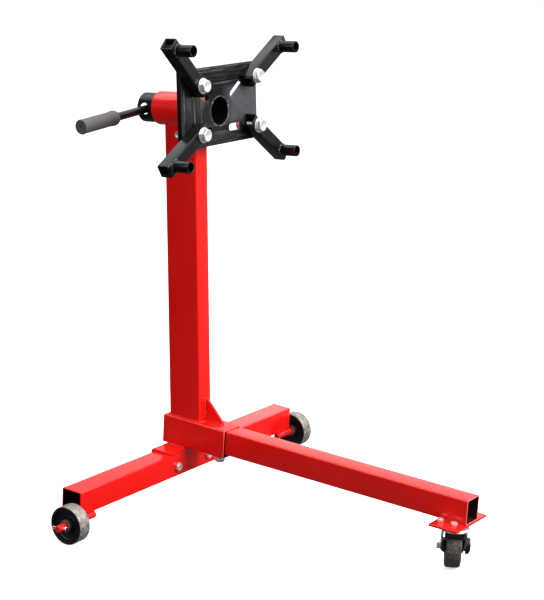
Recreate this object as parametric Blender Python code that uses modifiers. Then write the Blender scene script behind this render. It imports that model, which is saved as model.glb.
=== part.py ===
"""Engine stand: T-shaped wheeled base, leaning post and rotating mounting head.

Built with X = 0 at the middle of the cross tube, then moved back so that the
origin lies on the floor under the middle of the overall box. +X runs along the
front leg, +Y towards one rear wheel, +Z up. Sizes are in millimetres and
angles in degrees; the meshes are in metres. "left" in a name of the base is
the -Y side.
"""
import math

import bmesh
import bpy
from mathutils import Matrix, Vector

MM = 0.001
GAP = 0.3                      # clearance kept between pieces that touch
OVERALL_CENTRE_X = 233.31      # middle of the overall box, from the cross tube
SIDES = ((-1, "left"), (1, "right"))

# ---- shared hardware --------------------------------------------------------
TUBE_WALL = 2.0
TUBE_INNER_CORNER = 0.6
M8_R, M8_BORE, M8_HOLE = 4.0, 4.35, 4.5        # shank, nut bore, clearance hole radii
M8_FLATS = 13.0
M6_R, M6_HOLE, M6_FLATS = 3.0, 3.4, 11.0
M6_SIDES = 12
DRILL_REACH = 40.0             # half length of the long cross-drilling cutters

# ---- base -------------------------------------------------------------------
WHEEL_R = 32.2
WHEEL_IN, WHEEL_OUT = 311.0, 335.0
AXLE_R = 6.0
AXLE_X = 17.3
AXLE_IN, AXLE_TIP = 264.0, 355.5

CROSS_W, CROSS_H, CROSS_HALF, CROSS_CORNER = 40.0, 42.0, 302.0, 2.6
SADDLE_T, SADDLE_HALF, SADDLE_DROP = 4.4, 63.0, 42.0
SADDLE_BEND = 1.5              # inside bend radius
FRAME_BOLT_Y, FRAME_BOLT_Z = 44.0, 57.0

SOCKET_X0, SOCKET_X1 = -30.5, 102.0
SOCKET_W, SOCKET_H = 47.5, 51.2
LEG_X0, LEG_X1 = -22.0, 580.5
LEG_W, LEG_H = 38.2, 42.7
LEG_CORNER = 2.4               # outer corner radius of the leg and its socket

# ---- front caster -----------------------------------------------------------
PAD_X0, PAD_X1, PAD_HALF, PAD_T = 529.3, 581.0, 50.0, 3.7
TOPPLATE_T = 3.2
SWIVEL_X = 551.5
CASTER_R, CASTER_W, CASTER_TRAIL = 36.5, 25.4, 22.0
CASTER_YAW = 32.0              # direction of the caster axle about +Z
FORK_IN, FORK_OUT, WHEEL_SHIFT = 18.0, 20.4, 0.8

# ---- post and head: places are forward along and up from the head axis -------
LEAN = 4.05                    # backward lean of the post
HEAD_TILT = 1.1                # extra nose-up tilt of the head against the post
POST_X = -22.5                 # rear face of the post where it meets the socket
POST_DEPTH, POST_W, POST_CORNER = 66.3, 33.6, 2.6
HEAD_UP = 541.3                # head axis above the socket top, along the post
HOUSING_R, HOUSING_BORE = 28.8, 25.7
HOUSING_BACK, HOUSING_FRONT = -19.2, 96.2
SPINDLE_R, SPINDLE_BORE = 25.35, 22.9
SPINDLE_BACK, SPINDLE_FRONT = -51.8, 105.6
PLATE_BACK, PLATE_FRONT = 97.9, 105.9
PLATE_W, PLATE_H, PLATE_CORNER = 211.0, 131.4, 1.6
PLATE_UP = 9.75                # plate centre above the head axis

# ---- derived heights --------------------------------------------------------
CROSS_Z0 = WHEEL_R + AXLE_R + GAP
CROSS_Z1 = CROSS_Z0 + CROSS_H
SADDLE_Z0 = CROSS_Z1 + GAP
SADDLE_Z1 = SADDLE_Z0 + SADDLE_T
SOCKET_Z0 = SADDLE_Z1 + GAP
SOCKET_Z1 = SOCKET_Z0 + SOCKET_H
LEG_Z1 = SOCKET_Z1 - TUBE_WALL - GAP
LEG_Z0 = LEG_Z1 - LEG_H
PAD_Z1 = LEG_Z0 - GAP
PAD_Z0 = PAD_Z1 - PAD_T
TOPPLATE_Z1 = PAD_Z0 - GAP
TOPPLATE_Z0 = TOPPLATE_Z1 - TOPPLATE_T

# ---- scene ------------------------------------------------------------------
for old in list(bpy.data.objects):
    bpy.data.objects.remove(old, do_unlink=True)

PARTS = bpy.data.collections.new("engine_stand")
CUTS = bpy.data.collections.new("engine_stand_cutters")
bpy.context.scene.collection.children.link(PARTS)
bpy.context.scene.collection.children.link(CUTS)

LOOKS = {
    "red_paint": dict(colour=(0.55, 0.004, 0.008), roughness=0.28, metallic=0.0),
    "black_paint": dict(colour=(0.018, 0.018, 0.02), roughness=0.38, metallic=0.0),
    "zinc": dict(colour=(0.72, 0.73, 0.74), roughness=0.3, metallic=1.0),
    "bare_steel": dict(colour=(0.36, 0.34, 0.33), roughness=0.45, metallic=0.8),
    "rubber": dict(colour=(0.05, 0.047, 0.045), roughness=0.7, metallic=0.0),
    "grip_rubber": dict(colour=(0.11, 0.105, 0.11), roughness=0.6, metallic=0.0),
    "black_plastic": dict(colour=(0.012, 0.012, 0.013), roughness=0.35, metallic=0.0),
}


def material(name, colour, roughness, metallic):
    mat = bpy.data.materials.new(name)
    mat.use_nodes = True
    shader = mat.node_tree.nodes["Principled BSDF"]
    shader.inputs["Base Color"].default_value = (*colour, 1.0)
    shader.inputs["Roughness"].default_value = roughness
    shader.inputs["Metallic"].default_value = metallic
    mat.diffuse_color = (*colour, 1.0)
    return mat


def paint(ob, look):
    """Give the object its own material."""
    ob.data.materials.append(material(f"{ob.name}_{look}", **LOOKS[look]))


# ---- placing ----------------------------------------------------------------
def shift(x=0.0, y=0.0, z=0.0):
    return Matrix.Translation(Vector((x, y, z)) * MM)


def turn(degrees, axis):
    return Matrix.Rotation(math.radians(degrees), 4, axis)


def axes(x_to, y_to, z_to):
    """Rotation that sends the local axes to the given directions."""
    return Matrix((x_to, y_to, z_to)).transposed().to_4x4()


# local +Z onto the named direction, for turned pieces and bolts
TO_X = turn(90.0, "Y")
TO_Y = turn(-90.0, "X")
TO_MINUS_X = turn(-90.0, "Y")
TO_MINUS_Y = turn(90.0, "X")
TO_MINUS_Z = turn(180.0, "X")

# planes for flat outlines and tube sections
YZ_PLANE = axes((0, 1, 0), (0, 0, 1), (1, 0, 0))       # thickness runs to +X
XZ_PLANE = axes((1, 0, 0), (0, 0, 1), (0, -1, 0))      # thickness runs to -Y
XZ_FLIPPED = axes((1, 0, 0), (0, 0, -1), (0, 1, 0))    # thickness runs to +Y


# ---- solids -----------------------------------------------------------------
def add_object(name, data):
    ob = bpy.data.objects.new(name, data)
    PARTS.objects.link(ob)
    return ob


def from_bmesh(name, bm, at):
    bmesh.ops.recalc_face_normals(bm, faces=bm.faces[:])
    mesh = bpy.data.meshes.new(name)
    bm.to_mesh(mesh)
    bm.free()
    ob = add_object(name, mesh)
    ob.matrix_world = at
    return ob


def baked(source, at):
    """Replace a generated object by the welded mesh it evaluates to."""
    name = source.name
    graph = bpy.context.evaluated_depsgraph_get()
    mesh = bpy.data.meshes.new_from_object(source.evaluated_get(graph))
    bpy.data.objects.remove(source, do_unlink=True)
    bm = bmesh.new()
    bm.from_mesh(mesh)
    bmesh.ops.remove_doubles(bm, verts=bm.verts[:], dist=0.002 * MM)
    return from_bmesh(name, bm, at)


def box(name, low, high):
    bm = bmesh.new()
    bmesh.ops.create_cube(bm, size=1.0)
    for vert in bm.verts:
        vert.co = [(lo if c < 0 else hi) * MM for c, lo, hi in zip(vert.co, low, high)]
    return from_bmesh(name, bm, Matrix())


def rod(name, radius, z0, z1, at, sides):
    """Cylinder or prism along local Z."""
    bm = bmesh.new()
    bmesh.ops.create_cone(bm, cap_ends=True, cap_tris=False, segments=sides,
                          radius1=radius * MM, radius2=radius * MM,
                          depth=(z1 - z0) * MM, matrix=shift(0, 0, 0.5 * (z0 + z1)))
    return from_bmesh(name, bm, at)


def lathe(name, profile, at, steps):
    """Solid turned about local Z from (radius, height) points.

    A profile that starts on the axis stays open; any other is a closed ring.
    """
    count = len(profile)
    edges = [(i, i + 1) for i in range(count - 1)]
    if profile[0][0] > 0:
        edges.append((count - 1, 0))
    mesh = bpy.data.meshes.new(name)
    mesh.from_pydata([(r * MM, 0.0, z * MM) for r, z in profile], edges, [])
    source = add_object(name, mesh)
    screw = source.modifiers.new("turn", "SCREW")
    screw.angle = math.tau
    screw.steps = steps
    screw.use_merge_vertices = True
    screw.merge_threshold = 0.01 * MM
    screw.use_smooth_shade = True
    return baked(source, at)


def smooth(ob):
    for face in ob.data.polygons:
        face.use_smooth = True
    ob.data.set_sharp_from_angle(angle=math.radians(35.0))


def turned(name, look, profile, at, steps):
    """Finished turned piece: smooth shaded and painted."""
    ob = lathe(name, profile, at, steps)
    smooth(ob)
    paint(ob, look)
    return ob


def mirrored(half, low, high):
    """Closed profile, alike at both ends, from (radius, inset from the end) points."""
    return [(r, low + inset) for r, inset in half] + [(r, high - inset) for r, inset in half[::-1]]


def arc(cx, cy, radius, start, end, n):
    angles = [math.radians(start + (end - start) * i / n) for i in range(n + 1)]
    return [(cx + radius * math.cos(a), cy + radius * math.sin(a)) for a in angles]


def rounded(width, height, radius, n):
    """Rounded rectangle centred on the origin."""
    x, y = width / 2 - radius, height / 2 - radius
    return (arc(x, y, radius, 0, 90, n) + arc(-x, y, radius, 90, 180, n)
            + arc(-x, -y, radius, 180, 270, n) + arc(x, -y, radius, 270, 360, n))


def add_spline(curve, points):
    spline = curve.splines.new("POLY")
    spline.points.add(len(points) - 1)
    for point, (x, y, z) in zip(spline.points, points):
        point.co = (x * MM, y * MM, z * MM, 1.0)
    return spline


def slab(name, loops, z0, z1, at):
    """Flat outline (first loop) with cut-outs (other loops), thickness z0..z1."""
    curve = bpy.data.curves.new(name, "CURVE")
    curve.dimensions = "2D"
    curve.fill_mode = "BOTH"
    curve.extrude = 0.5 * (z1 - z0) * MM
    for loop in loops:
        add_spline(curve, [(x, y, 0.0) for x, y in loop]).use_cyclic_u = True
    ob = baked(add_object(name, curve), at)
    ob.data.transform(shift(0, 0, 0.5 * (z0 + z1)))
    return ob


def section_tube(name, width, height, wall, corner, z0, z1, at):
    """Rectangular tube: section in local XY, length along local Z."""
    outer = rounded(width, height, corner, 2)
    inner = rounded(width - 2 * wall, height - 2 * wall, TUBE_INNER_CORNER, 1)
    return slab(name, [outer, inner], z0, z1, at)


def cut(ob, tool, operation="DIFFERENCE"):
    """Apply a boolean and put its tool away among the hidden cutters."""
    PARTS.objects.unlink(tool)
    CUTS.objects.link(tool)
    tool.hide_render = True
    tool.display_type = "WIRE"
    boolean = ob.modifiers.new("cut_" + tool.name, "BOOLEAN")
    boolean.operation = operation
    boolean.solver = "EXACT"
    boolean.object = tool


def join(ob, tool):
    cut(ob, tool, "UNION")


def drill(ob, name, radius, z0, z1, at, sides=14):
    cut(ob, rod(name, radius, z0, z1, at, sides))


# ---- bolts and nuts ---------------------------------------------------------
def hex_prism(name, flats, z0, z1, crown, at):
    """Hexagon, given across flats, with the corners of its top chamfered by crown."""
    corner = flats / math.sqrt(3.0)
    flat_r = flats * 0.47
    above = z1 + 2.0
    ob = rod(name, corner, z0, z1, at, 6)
    cut(ob, lathe(name + "_crown", [
        (corner * 1.3, above), (corner * 1.3, z1 - crown), (corner * 1.001, z1 - crown),
        (flat_r, z1 + 0.01), (flat_r, above)], at, 12))
    return ob


def join_flange(ob, flange, at):
    """Round flange, (radius, thickness), standing on z = 0."""
    radius, thick = flange
    join(ob, lathe(ob.name + "_flange", [
        (0, thick + 0.3), (radius * 0.84, thick + 0.3), (radius, thick * 0.55),
        (radius, 0), (0, 0)], at, 24))


def hex_bolt(name, radius, flats, head, shank, at, flange=None, crown=0.6, sides=14):
    """Head on +Z from z = 0, shank towards -Z."""
    seat = flange[1] if flange else 0.0
    overlap = 0.2 if flange else 0.0       # sinks the hexagon into the flange
    ob = hex_prism(name, flats, seat - overlap, seat + head, crown, at)
    join(ob, rod(name + "_shank", radius, -shank, 0.5, at, sides))
    if flange:
        join_flange(ob, flange, at)
    paint(ob, "zinc")


def hex_nut(name, bore, flats, height, at, flange=None, crown=0.5, sides=14):
    """Nut from its seat at z = 0 up to z = height, bored through."""
    ob = hex_prism(name, flats, 0.0, height, crown, at)
    if flange:
        join_flange(ob, flange, at)
    drill(ob, name + "_bore", bore, -1.0, height + 1.0, at, sides)
    paint(ob, "zinc")


# ---- cross tube, saddle bracket and their bolts ------------------------------
FRAME_BOLT_HEAD, FRAME_BOLT_L, FRAME_NUT_H = 5.5, 53.5, 6.5
CROSS_FRONT = CROSS_W / 2
SADDLE_INNER = -CROSS_FRONT - GAP      # X of the drop's faces
SADDLE_OUTER = SADDLE_INNER - SADDLE_T

cross = section_tube("cross_tube", CROSS_W, CROSS_H, TUBE_WALL, CROSS_CORNER,
                     -CROSS_HALF, CROSS_HALF,
                     shift(0, 0, 0.5 * (CROSS_Z0 + CROSS_Z1)) @ XZ_FLIPPED)
paint(cross, "red_paint")

# the saddle lies on the tube and drops down its rear face
outer_bend = SADDLE_T + SADDLE_BEND
saddle_outline = (
    [(CROSS_FRONT, SADDLE_Z1)]
    + arc(SADDLE_OUTER + outer_bend, SADDLE_Z1 - outer_bend, outer_bend, 90, 180, 5)
    + [(SADDLE_OUTER, SADDLE_DROP), (SADDLE_INNER, SADDLE_DROP)]
    + arc(SADDLE_INNER + SADDLE_BEND, SADDLE_Z0 - SADDLE_BEND, SADDLE_BEND, 180, 90, 3)
    + [(CROSS_FRONT, SADDLE_Z0)])
saddle = slab("saddle_bracket", [saddle_outline], -SADDLE_HALF, SADDLE_HALF, XZ_PLANE)
paint(saddle, "red_paint")

for side, tag in SIDES:
    bolt_y = side * FRAME_BOLT_Y
    drill(cross, f"cut_cross_bolt_{tag}", M8_HOLE, -DRILL_REACH, DRILL_REACH,
          shift(0, bolt_y, FRAME_BOLT_Z) @ TO_X)
    drill(saddle, f"cut_saddle_bolt_{tag}", M8_HOLE, -DRILL_REACH, DRILL_REACH,
          shift(-CROSS_FRONT, bolt_y, FRAME_BOLT_Z) @ TO_X)
    hex_bolt(f"frame_bolt_{tag}", M8_R, M8_FLATS, FRAME_BOLT_HEAD, FRAME_BOLT_L,
             shift(CROSS_FRONT + GAP, bolt_y, FRAME_BOLT_Z) @ TO_X)
    hex_nut(f"frame_nut_{tag}", M8_BORE, M8_FLATS, FRAME_NUT_H,
            shift(SADDLE_OUTER - GAP, bolt_y, FRAME_BOLT_Z) @ TO_MINUS_X)

# ---- socket, leg and clamp screw --------------------------------------------
CLAMP_X, CLAMP_FLATS, CLAMP_HEAD, CLAMP_NUT_H = 79.0, 15.0, 6.2, 7.0
CLAMP_OUT = 2.0                # screw head seat below the nut

socket = section_tube("leg_socket", SOCKET_W, SOCKET_H, TUBE_WALL, LEG_CORNER,
                      SOCKET_X0, SOCKET_X1,
                      shift(0, 0, 0.5 * (SOCKET_Z0 + SOCKET_Z1)) @ YZ_PLANE)
drill(socket, "cut_socket_screw", M8_HOLE, SOCKET_Z0 - 5, SOCKET_Z0 + 6, shift(CLAMP_X))
paint(socket, "red_paint")

leg = section_tube("front_leg", LEG_W, LEG_H, TUBE_WALL, LEG_CORNER, LEG_X0, LEG_X1,
                   shift(0, 0, 0.5 * (LEG_Z0 + LEG_Z1)) @ YZ_PLANE)
paint(leg, "red_paint")

nut_z = SOCKET_Z0 - GAP
hex_nut("socket_nut", M8_BORE, CLAMP_FLATS, CLAMP_NUT_H, shift(CLAMP_X, 0, nut_z) @ TO_MINUS_Z)
screw_z = nut_z - CLAMP_NUT_H - CLAMP_OUT
hex_bolt("socket_screw", M8_R, CLAMP_FLATS, CLAMP_HEAD, LEG_Z0 - GAP - screw_z,
         shift(CLAMP_X, 0, screw_z) @ TO_MINUS_Z)

# ---- rear axles, wheels, washers, split pins --------------------------------
AXLE_BORE = AXLE_R + 0.35      # wheel and washer bore
WASHER_R, WASHER_T = 10.0, 2.0
COTTER_Y, COTTER_TURN = 348.0, 10.0
COTTER_HOLE, COTTER_WIRE = 2.1, 1.45           # radii

AXLE_PROFILE = [
    (0, AXLE_TIP), (AXLE_R - 1.2, AXLE_TIP), (AXLE_R, AXLE_TIP - 1.6),
    (AXLE_R, AXLE_IN + 0.8), (AXLE_R - 0.8, AXLE_IN), (0, AXLE_IN)]
# radius, inset from the wheel's face
WHEEL_HALF_PROFILE = [
    (WHEEL_R, 1.6), (WHEEL_R - 1.2, 0), (WHEEL_R - 4.6, 0), (WHEEL_R - 5.8, 7.0),
    (13.0, 9.4), (11.0, 1.2), (10.0, 0), (AXLE_BORE, 0)]
# across the axle, outboard
COTTER_PATH = [(-16.5, 0.0), (-13.0, 1.2), (-9.5, 0.2), (9.0, 0.0), (10.6, -1.2), (11.2, -4.2)]


def cotter_pin(name, at):
    """Bent wire through the axle."""
    curve = bpy.data.curves.new(name, "CURVE")
    curve.dimensions = "3D"
    curve.bevel_depth = COTTER_WIRE * MM
    curve.bevel_resolution = 1
    curve.use_fill_caps = True
    add_spline(curve, [(x, 0, z) for x, z in COTTER_PATH])
    ob = baked(add_object(name, curve), at)
    smooth(ob)
    paint(ob, "zinc")


for side, tag in SIDES:
    outboard = shift(AXLE_X, 0, WHEEL_R) @ (TO_Y if side > 0 else TO_MINUS_Y)
    pin = outboard @ shift(0, 0, COTTER_Y) @ turn(-COTTER_TURN * side, "Z")
    axle_rod = turned(f"axle_rod_{tag}", "red_paint", AXLE_PROFILE, outboard, 20)
    drill(axle_rod, f"cut_cotter_{tag}", COTTER_HOLE, -12, 12, pin @ TO_X, 10)
    turned(f"rear_wheel_{tag}", "bare_steel",
           mirrored(WHEEL_HALF_PROFILE, WHEEL_IN, WHEEL_OUT), outboard, 36)
    for place, z in (("inner", WHEEL_IN - GAP - WASHER_T), ("outer", WHEEL_OUT + GAP)):
        turned(f"washer_{place}_{tag}", "zinc",
               mirrored([(WASHER_R, 0), (AXLE_BORE, 0)], z, z + WASHER_T), outboard, 24)
    cotter_pin(f"cotter_pin_{tag}", pin)

# ---- caster plates, their bolts and the kingpin -----------------------------
TOPPLATE_X, TOPPLATE_Y, TOPPLATE_CORNER = 44.0, 74.0, 5.0
CASTER_BOLT_DX, CASTER_BOLT_DY = 12.6, 28.0
CASTER_BOLT_HEAD = 4.6
KINGPIN_R, KINGPIN_HOLE = 6.05, 6.4
CROWN_Z0, CROWN_Z1 = 73.8, 76.4        # flat rim of the fork crown

pad = slab("caster_mount_plate", [rounded(PAD_X1 - PAD_X0, 2 * PAD_HALF, 1.0, 1)],
           PAD_Z0, PAD_Z1, shift(0.5 * (PAD_X0 + PAD_X1)))
top = slab("caster_top_plate", [rounded(TOPPLATE_X, TOPPLATE_Y, TOPPLATE_CORNER, 2)],
           TOPPLATE_Z0, TOPPLATE_Z1, shift(SWIVEL_X))
corners = [(dx, dy) for dx in (-CASTER_BOLT_DX, CASTER_BOLT_DX)
           for dy in (-CASTER_BOLT_DY, CASTER_BOLT_DY)]
for k, (dx, dy) in enumerate(corners, 1):
    at = shift(SWIVEL_X + dx, dy)
    drill(pad, f"cut_pad_{k}", M6_HOLE, PAD_Z0 - 2, PAD_Z1 + 2, at, M6_SIDES)
    drill(top, f"cut_top_{k}", M6_HOLE, TOPPLATE_Z0 - 2, TOPPLATE_Z1 + 2, at, M6_SIDES)
    hex_bolt(f"caster_bolt_{k}", M6_R, M6_FLATS, CASTER_BOLT_HEAD,
             PAD_Z1 + GAP - TOPPLATE_Z0 + 3.0,
             shift(SWIVEL_X + dx, dy, PAD_Z1 + GAP), sides=M6_SIDES)
drill(top, "cut_top_pin", KINGPIN_HOLE, TOPPLATE_Z0 - 2, TOPPLATE_Z1 + 2, shift(SWIVEL_X), 18)
paint(pad, "red_paint")
paint(top, "zinc")

turned("caster_kingpin", "zinc", [
    (0, TOPPLATE_Z1), (KINGPIN_R, TOPPLATE_Z1), (KINGPIN_R, CROWN_Z0 - GAP),
    (9.0, CROWN_Z0 - GAP), (8.0, CROWN_Z0 - 2.8), (0, CROWN_Z0 - 2.8)], shift(SWIVEL_X), 20)

# ---- caster fork ------------------------------------------------------------
FORK_EYE_R = 9.0
CASTER_BORE = 4.4              # radius of the axle hole in fork, hub and guards
RACE_Z1 = TOPPLATE_Z0 - GAP

swivel = shift(SWIVEL_X) @ turn(CASTER_YAW, "Z")          # local X axle, local +Y trail
swivel_side = swivel @ YZ_PLANE                           # for outlines in (trail, height)
axle = swivel @ shift(0, CASTER_TRAIL, CASTER_R)

fork = lathe("caster_fork", [
    (16.0, RACE_Z1), (21.5, RACE_Z1 - 1.4), (25.0, CROWN_Z1), (25.0, CROWN_Z0),
    (KINGPIN_HOLE, CROWN_Z0), (KINGPIN_HOLE, CROWN_Z1), (10.0, CROWN_Z1 + 1.2),
    (12.5, RACE_Z1)], swivel, 30)
fork_leg = (
    [(-13.0, CROWN_Z0 + 1.6), (-15.0, CROWN_Z0 - 4.0)]
    + arc(CASTER_TRAIL, CASTER_R, FORK_EYE_R, 205, 360, 6)
    + [(CASTER_TRAIL - 4.5, CROWN_Z0 - 8.0), (CASTER_TRAIL - 5.5, CROWN_Z0 + 1.6)])
for tag, x0, x1 in (("a", -FORK_OUT, -FORK_IN), ("b", FORK_IN, FORK_OUT)):
    join(fork, slab(f"fork_leg_{tag}", [fork_leg], x0, x1, swivel_side))
drill(fork, "cut_fork_axle", CASTER_BORE, -30, 30, axle @ TO_X)
paint(fork, "zinc")

# ---- caster wheel and axle --------------------------------------------------
HUB_PROUD = 0.6                # hub boss beyond the tyre's side
CASTER_BOLT_FLATS, CASTER_AXLE_HEAD, CASTER_NUT_H = M8_FLATS, 5.5, 6.0
half_width = CASTER_W / 2
wheel_at = axle @ shift(WHEEL_SHIFT) @ TO_X               # local +Z along the caster axle

# radius, inset from the tyre's side
TYRE_HALF_PROFILE = [
    (CASTER_R, 4.8), (CASTER_R - 1.4, 1.4), (CASTER_R - 4.0, 0), (27.0, 0), (26.2, 1.6)]
HUB_HALF_PROFILE = [
    (25.9, 1.2), (22.8, 1.2), (21.5, 5.5), (11.5, 6.5), (9.5, -HUB_PROUD),
    (CASTER_BORE, -HUB_PROUD)]
turned("caster_tyre", "rubber", mirrored(TYRE_HALF_PROFILE, -half_width, half_width),
       wheel_at, 36)
turned("caster_hub", "black_plastic", mirrored(HUB_HALF_PROFILE, -half_width, half_width),
       wheel_at, 30)

# rings that fill the space between the hub and each fork leg
for side, tag in SIDES:
    z0 = half_width + HUB_PROUD + GAP
    z1 = FORK_IN - side * WHEEL_SHIFT - GAP
    turned(f"thread_guard_{tag}", "black_plastic",
           [(11.6, z1), (12.6, z0), (CASTER_BORE, z0), (CASTER_BORE, z1)],
           wheel_at if side > 0 else wheel_at @ TO_MINUS_Z, 22)

hex_bolt("caster_axle_bolt", M8_R, CASTER_BOLT_FLATS, CASTER_AXLE_HEAD,
         FORK_OUT * 2 + GAP * 2 + 9.0,
         axle @ TO_X @ shift(0, 0, -FORK_OUT - GAP) @ TO_MINUS_Z)
hex_nut("caster_axle_nut", M8_BORE, CASTER_BOLT_FLATS, CASTER_NUT_H,
        axle @ TO_X @ shift(0, 0, FORK_OUT + GAP))

# ---- caster brake -----------------------------------------------------------
LEVER_T, LEVER_HOLE, LEVER_TURN = 8.0, 8.3, 8.0
SHOE_HALF, SHOE_CLEAR = 15.5, 0.8

# leaf-shaped lever around the axle, outside the fork leg
leaf = (arc(0, 3.4, 11.0, 15, 165, 8) + [(-10.3, -3.0), (-7.0, -11.0)]
        + arc(0, -12.0, 3.2, 200, 340, 4) + [(7.0, -11.0), (10.3, -3.0)])
lever = slab("brake_lever", [leaf, arc(0, 0, LEVER_HOLE, 0, 342, 19)], 0.0, LEVER_T,
             axle @ shift(FORK_OUT + GAP) @ YZ_PLANE @ turn(LEVER_TURN, "Z"))
bevel = lever.modifiers.new("edge", "BEVEL")
bevel.width = 1.4 * MM
bevel.segments = 1
bevel.limit_method = "ANGLE"
bevel.angle_limit = math.radians(50.0)
bevel.use_clamp_overlap = True
paint(lever, "black_plastic")

# shoe: block between the fork legs whose underside follows the tyre
shoe_under = [
    (y, CASTER_R + math.sqrt((CASTER_R + SHOE_CLEAR) ** 2 - (CASTER_TRAIL - y) ** 2))
    for y in (4.0, 1.5, -1.0, -3.5, -6.0, -8.0)]
shoe = [(5.0, 70.7)] + shoe_under + [(-9.4, 59.6), (-12.0, 69.4), (-11.2, 70.7)]
paint(slab("brake_shoe", [shoe], -SHOE_HALF, SHOE_HALF, swivel_side), "black_plastic")

# ---- post -------------------------------------------------------------------
SCREW_FORWARD, SCREW_UP = 31.3, 498.0  # post screw, from the post's rear foot
POST_SCREW_HEAD = 4.2
POST_BELOW = 10.0              # post start below the socket top, trimmed off
POST_SHORT = 18.0              # post end below the head axis

post_at = shift(POST_X, 0, SOCKET_Z1) @ turn(-LEAN, "Y")
# the head tilts about the front face of its plate; local +X runs along its axis
head_at = post_at @ shift(PLATE_FRONT, 0, HEAD_UP) @ turn(-HEAD_TILT, "Y") @ shift(-PLATE_FRONT)
head_axis = head_at @ TO_X     # local +Z forwards along the head axis

post = section_tube("upright_post", POST_DEPTH, POST_W, TUBE_WALL, POST_CORNER,
                    -POST_BELOW, HEAD_UP - POST_SHORT, post_at @ shift(POST_DEPTH / 2))
cut(post, box("cut_post_foot", (-60, -40, SOCKET_Z1 - 40), (80, 40, SOCKET_Z1 + GAP)))
drill(post, "cut_post_saddle", HOUSING_R + GAP, -60, 140, head_axis, 48)
drill(post, "cut_post_pin", M6_HOLE, -DRILL_REACH, DRILL_REACH,
      post_at @ shift(SCREW_FORWARD, 0, SCREW_UP) @ TO_Y, 16)
paint(post, "red_paint")

hex_bolt("post_screw", M6_R, M6_FLATS, POST_SCREW_HEAD, POST_W + GAP + 3.0,
         post_at @ shift(SCREW_FORWARD, -POST_W / 2 - GAP, SCREW_UP) @ TO_MINUS_Y,
         sides=M6_SIDES)

# ---- gusset between the post's front face and the socket --------------------
GUSSET_Y, GUSSET_T = 2.0, 5.0  # it stands a little off the middle
GUSSET_X1, GUSSET_H = 81.5, 39.5
GUSSET_CLEAR = 0.35            # from the post


def post_front(z):
    """X of the post's front face at height z."""
    lean = math.radians(LEAN)
    return POST_X + POST_DEPTH / math.cos(lean) - math.tan(lean) * (z - SOCKET_Z1)


z0, z1 = SOCKET_Z1 + GAP + 0.05, SOCKET_Z1 + GUSSET_H
gusset = [(post_front(z0) + GUSSET_CLEAR, z0), (GUSSET_X1, z0), (GUSSET_X1, z0 + 4.0),
          (post_front(z1) + 6.0, z1), (post_front(z1) + GUSSET_CLEAR, z1)]
paint(slab("post_gusset", [gusset], -GUSSET_Y - GUSSET_T / 2, -GUSSET_Y + GUSSET_T / 2, XZ_PLANE),
      "red_paint")

# ---- housing and spindle ----------------------------------------------------
HANDLE_AT, HANDLE_HOLE_R = -37.3, 9.9

turned("head_housing", "red_paint",
       mirrored([(HOUSING_R, 0.7), (HOUSING_R - 0.7, 0), (HOUSING_BORE, 0)],
                HOUSING_BACK, HOUSING_FRONT), head_axis, 48)
spindle = turned("head_spindle", "black_paint", [
    (SPINDLE_R, SPINDLE_FRONT), (SPINDLE_R, SPINDLE_BACK + 0.6),
    (SPINDLE_R - 0.6, SPINDLE_BACK), (SPINDLE_BORE, SPINDLE_BACK),
    (SPINDLE_BORE, SPINDLE_FRONT)], head_axis, 40)
handle_at = head_at @ shift(HANDLE_AT)
drill(spindle, "cut_spindle_handle", HANDLE_HOLE_R, -60, 60, handle_at @ TO_Y, 20)

# ---- slotted mounting plate -------------------------------------------------
SLOT_W = 12.8
# slot end centres (across, up from plate centre)
SLOTS = (
    ("upper_left", (-36.5, 14.0), (-83.0, 44.5)),
    ("upper_right", (36.5, 15.5), (82.5, 48.0)),
    ("lower_left", (-31.5, -40.5), (-86.5, -40.5)),
    ("lower_right", (31.5, -40.5), (86.5, -40.5)),
)

plate = slab("mount_plate", [rounded(PLATE_W, PLATE_H, PLATE_CORNER, 1)],
             PLATE_BACK, PLATE_FRONT, head_at @ shift(0, 0, PLATE_UP) @ YZ_PLANE)
drill(plate, "cut_plate_bore", SPINDLE_R + GAP, PLATE_BACK - 4, PLATE_FRONT + 4, head_axis, 40)
for tag, (ya, za), (yb, zb) in SLOTS:
    slope = math.degrees(math.atan2(zb - za, yb - ya))
    length = math.hypot(yb - ya, zb - za)
    slot = arc(0, 0, SLOT_W / 2, 90, 270, 7) + arc(length, 0, SLOT_W / 2, -90, 90, 7)
    cut(plate, slab(f"cut_slot_{tag}", [slot], PLATE_BACK - 3, PLATE_FRONT + 3,
                    head_at @ shift(0, ya, PLATE_UP + za) @ turn(slope, "X") @ YZ_PLANE))
paint(plate, "black_paint")

# ---- handle: rod through the spindle with a grip on the -Y end --------------
HANDLE_RAISE, HANDLE_TILT = 0.5, 4.3   # the grip end slopes down
HANDLE_R, ROD_FAR = 7.0, -44.0
GRIP_R, GRIP_START, GRIP_END = 12.8, 100.0, 191.0
ROD_TIP = GRIP_END - 8.0
GRIP_BORE = HANDLE_R + 0.3

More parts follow.
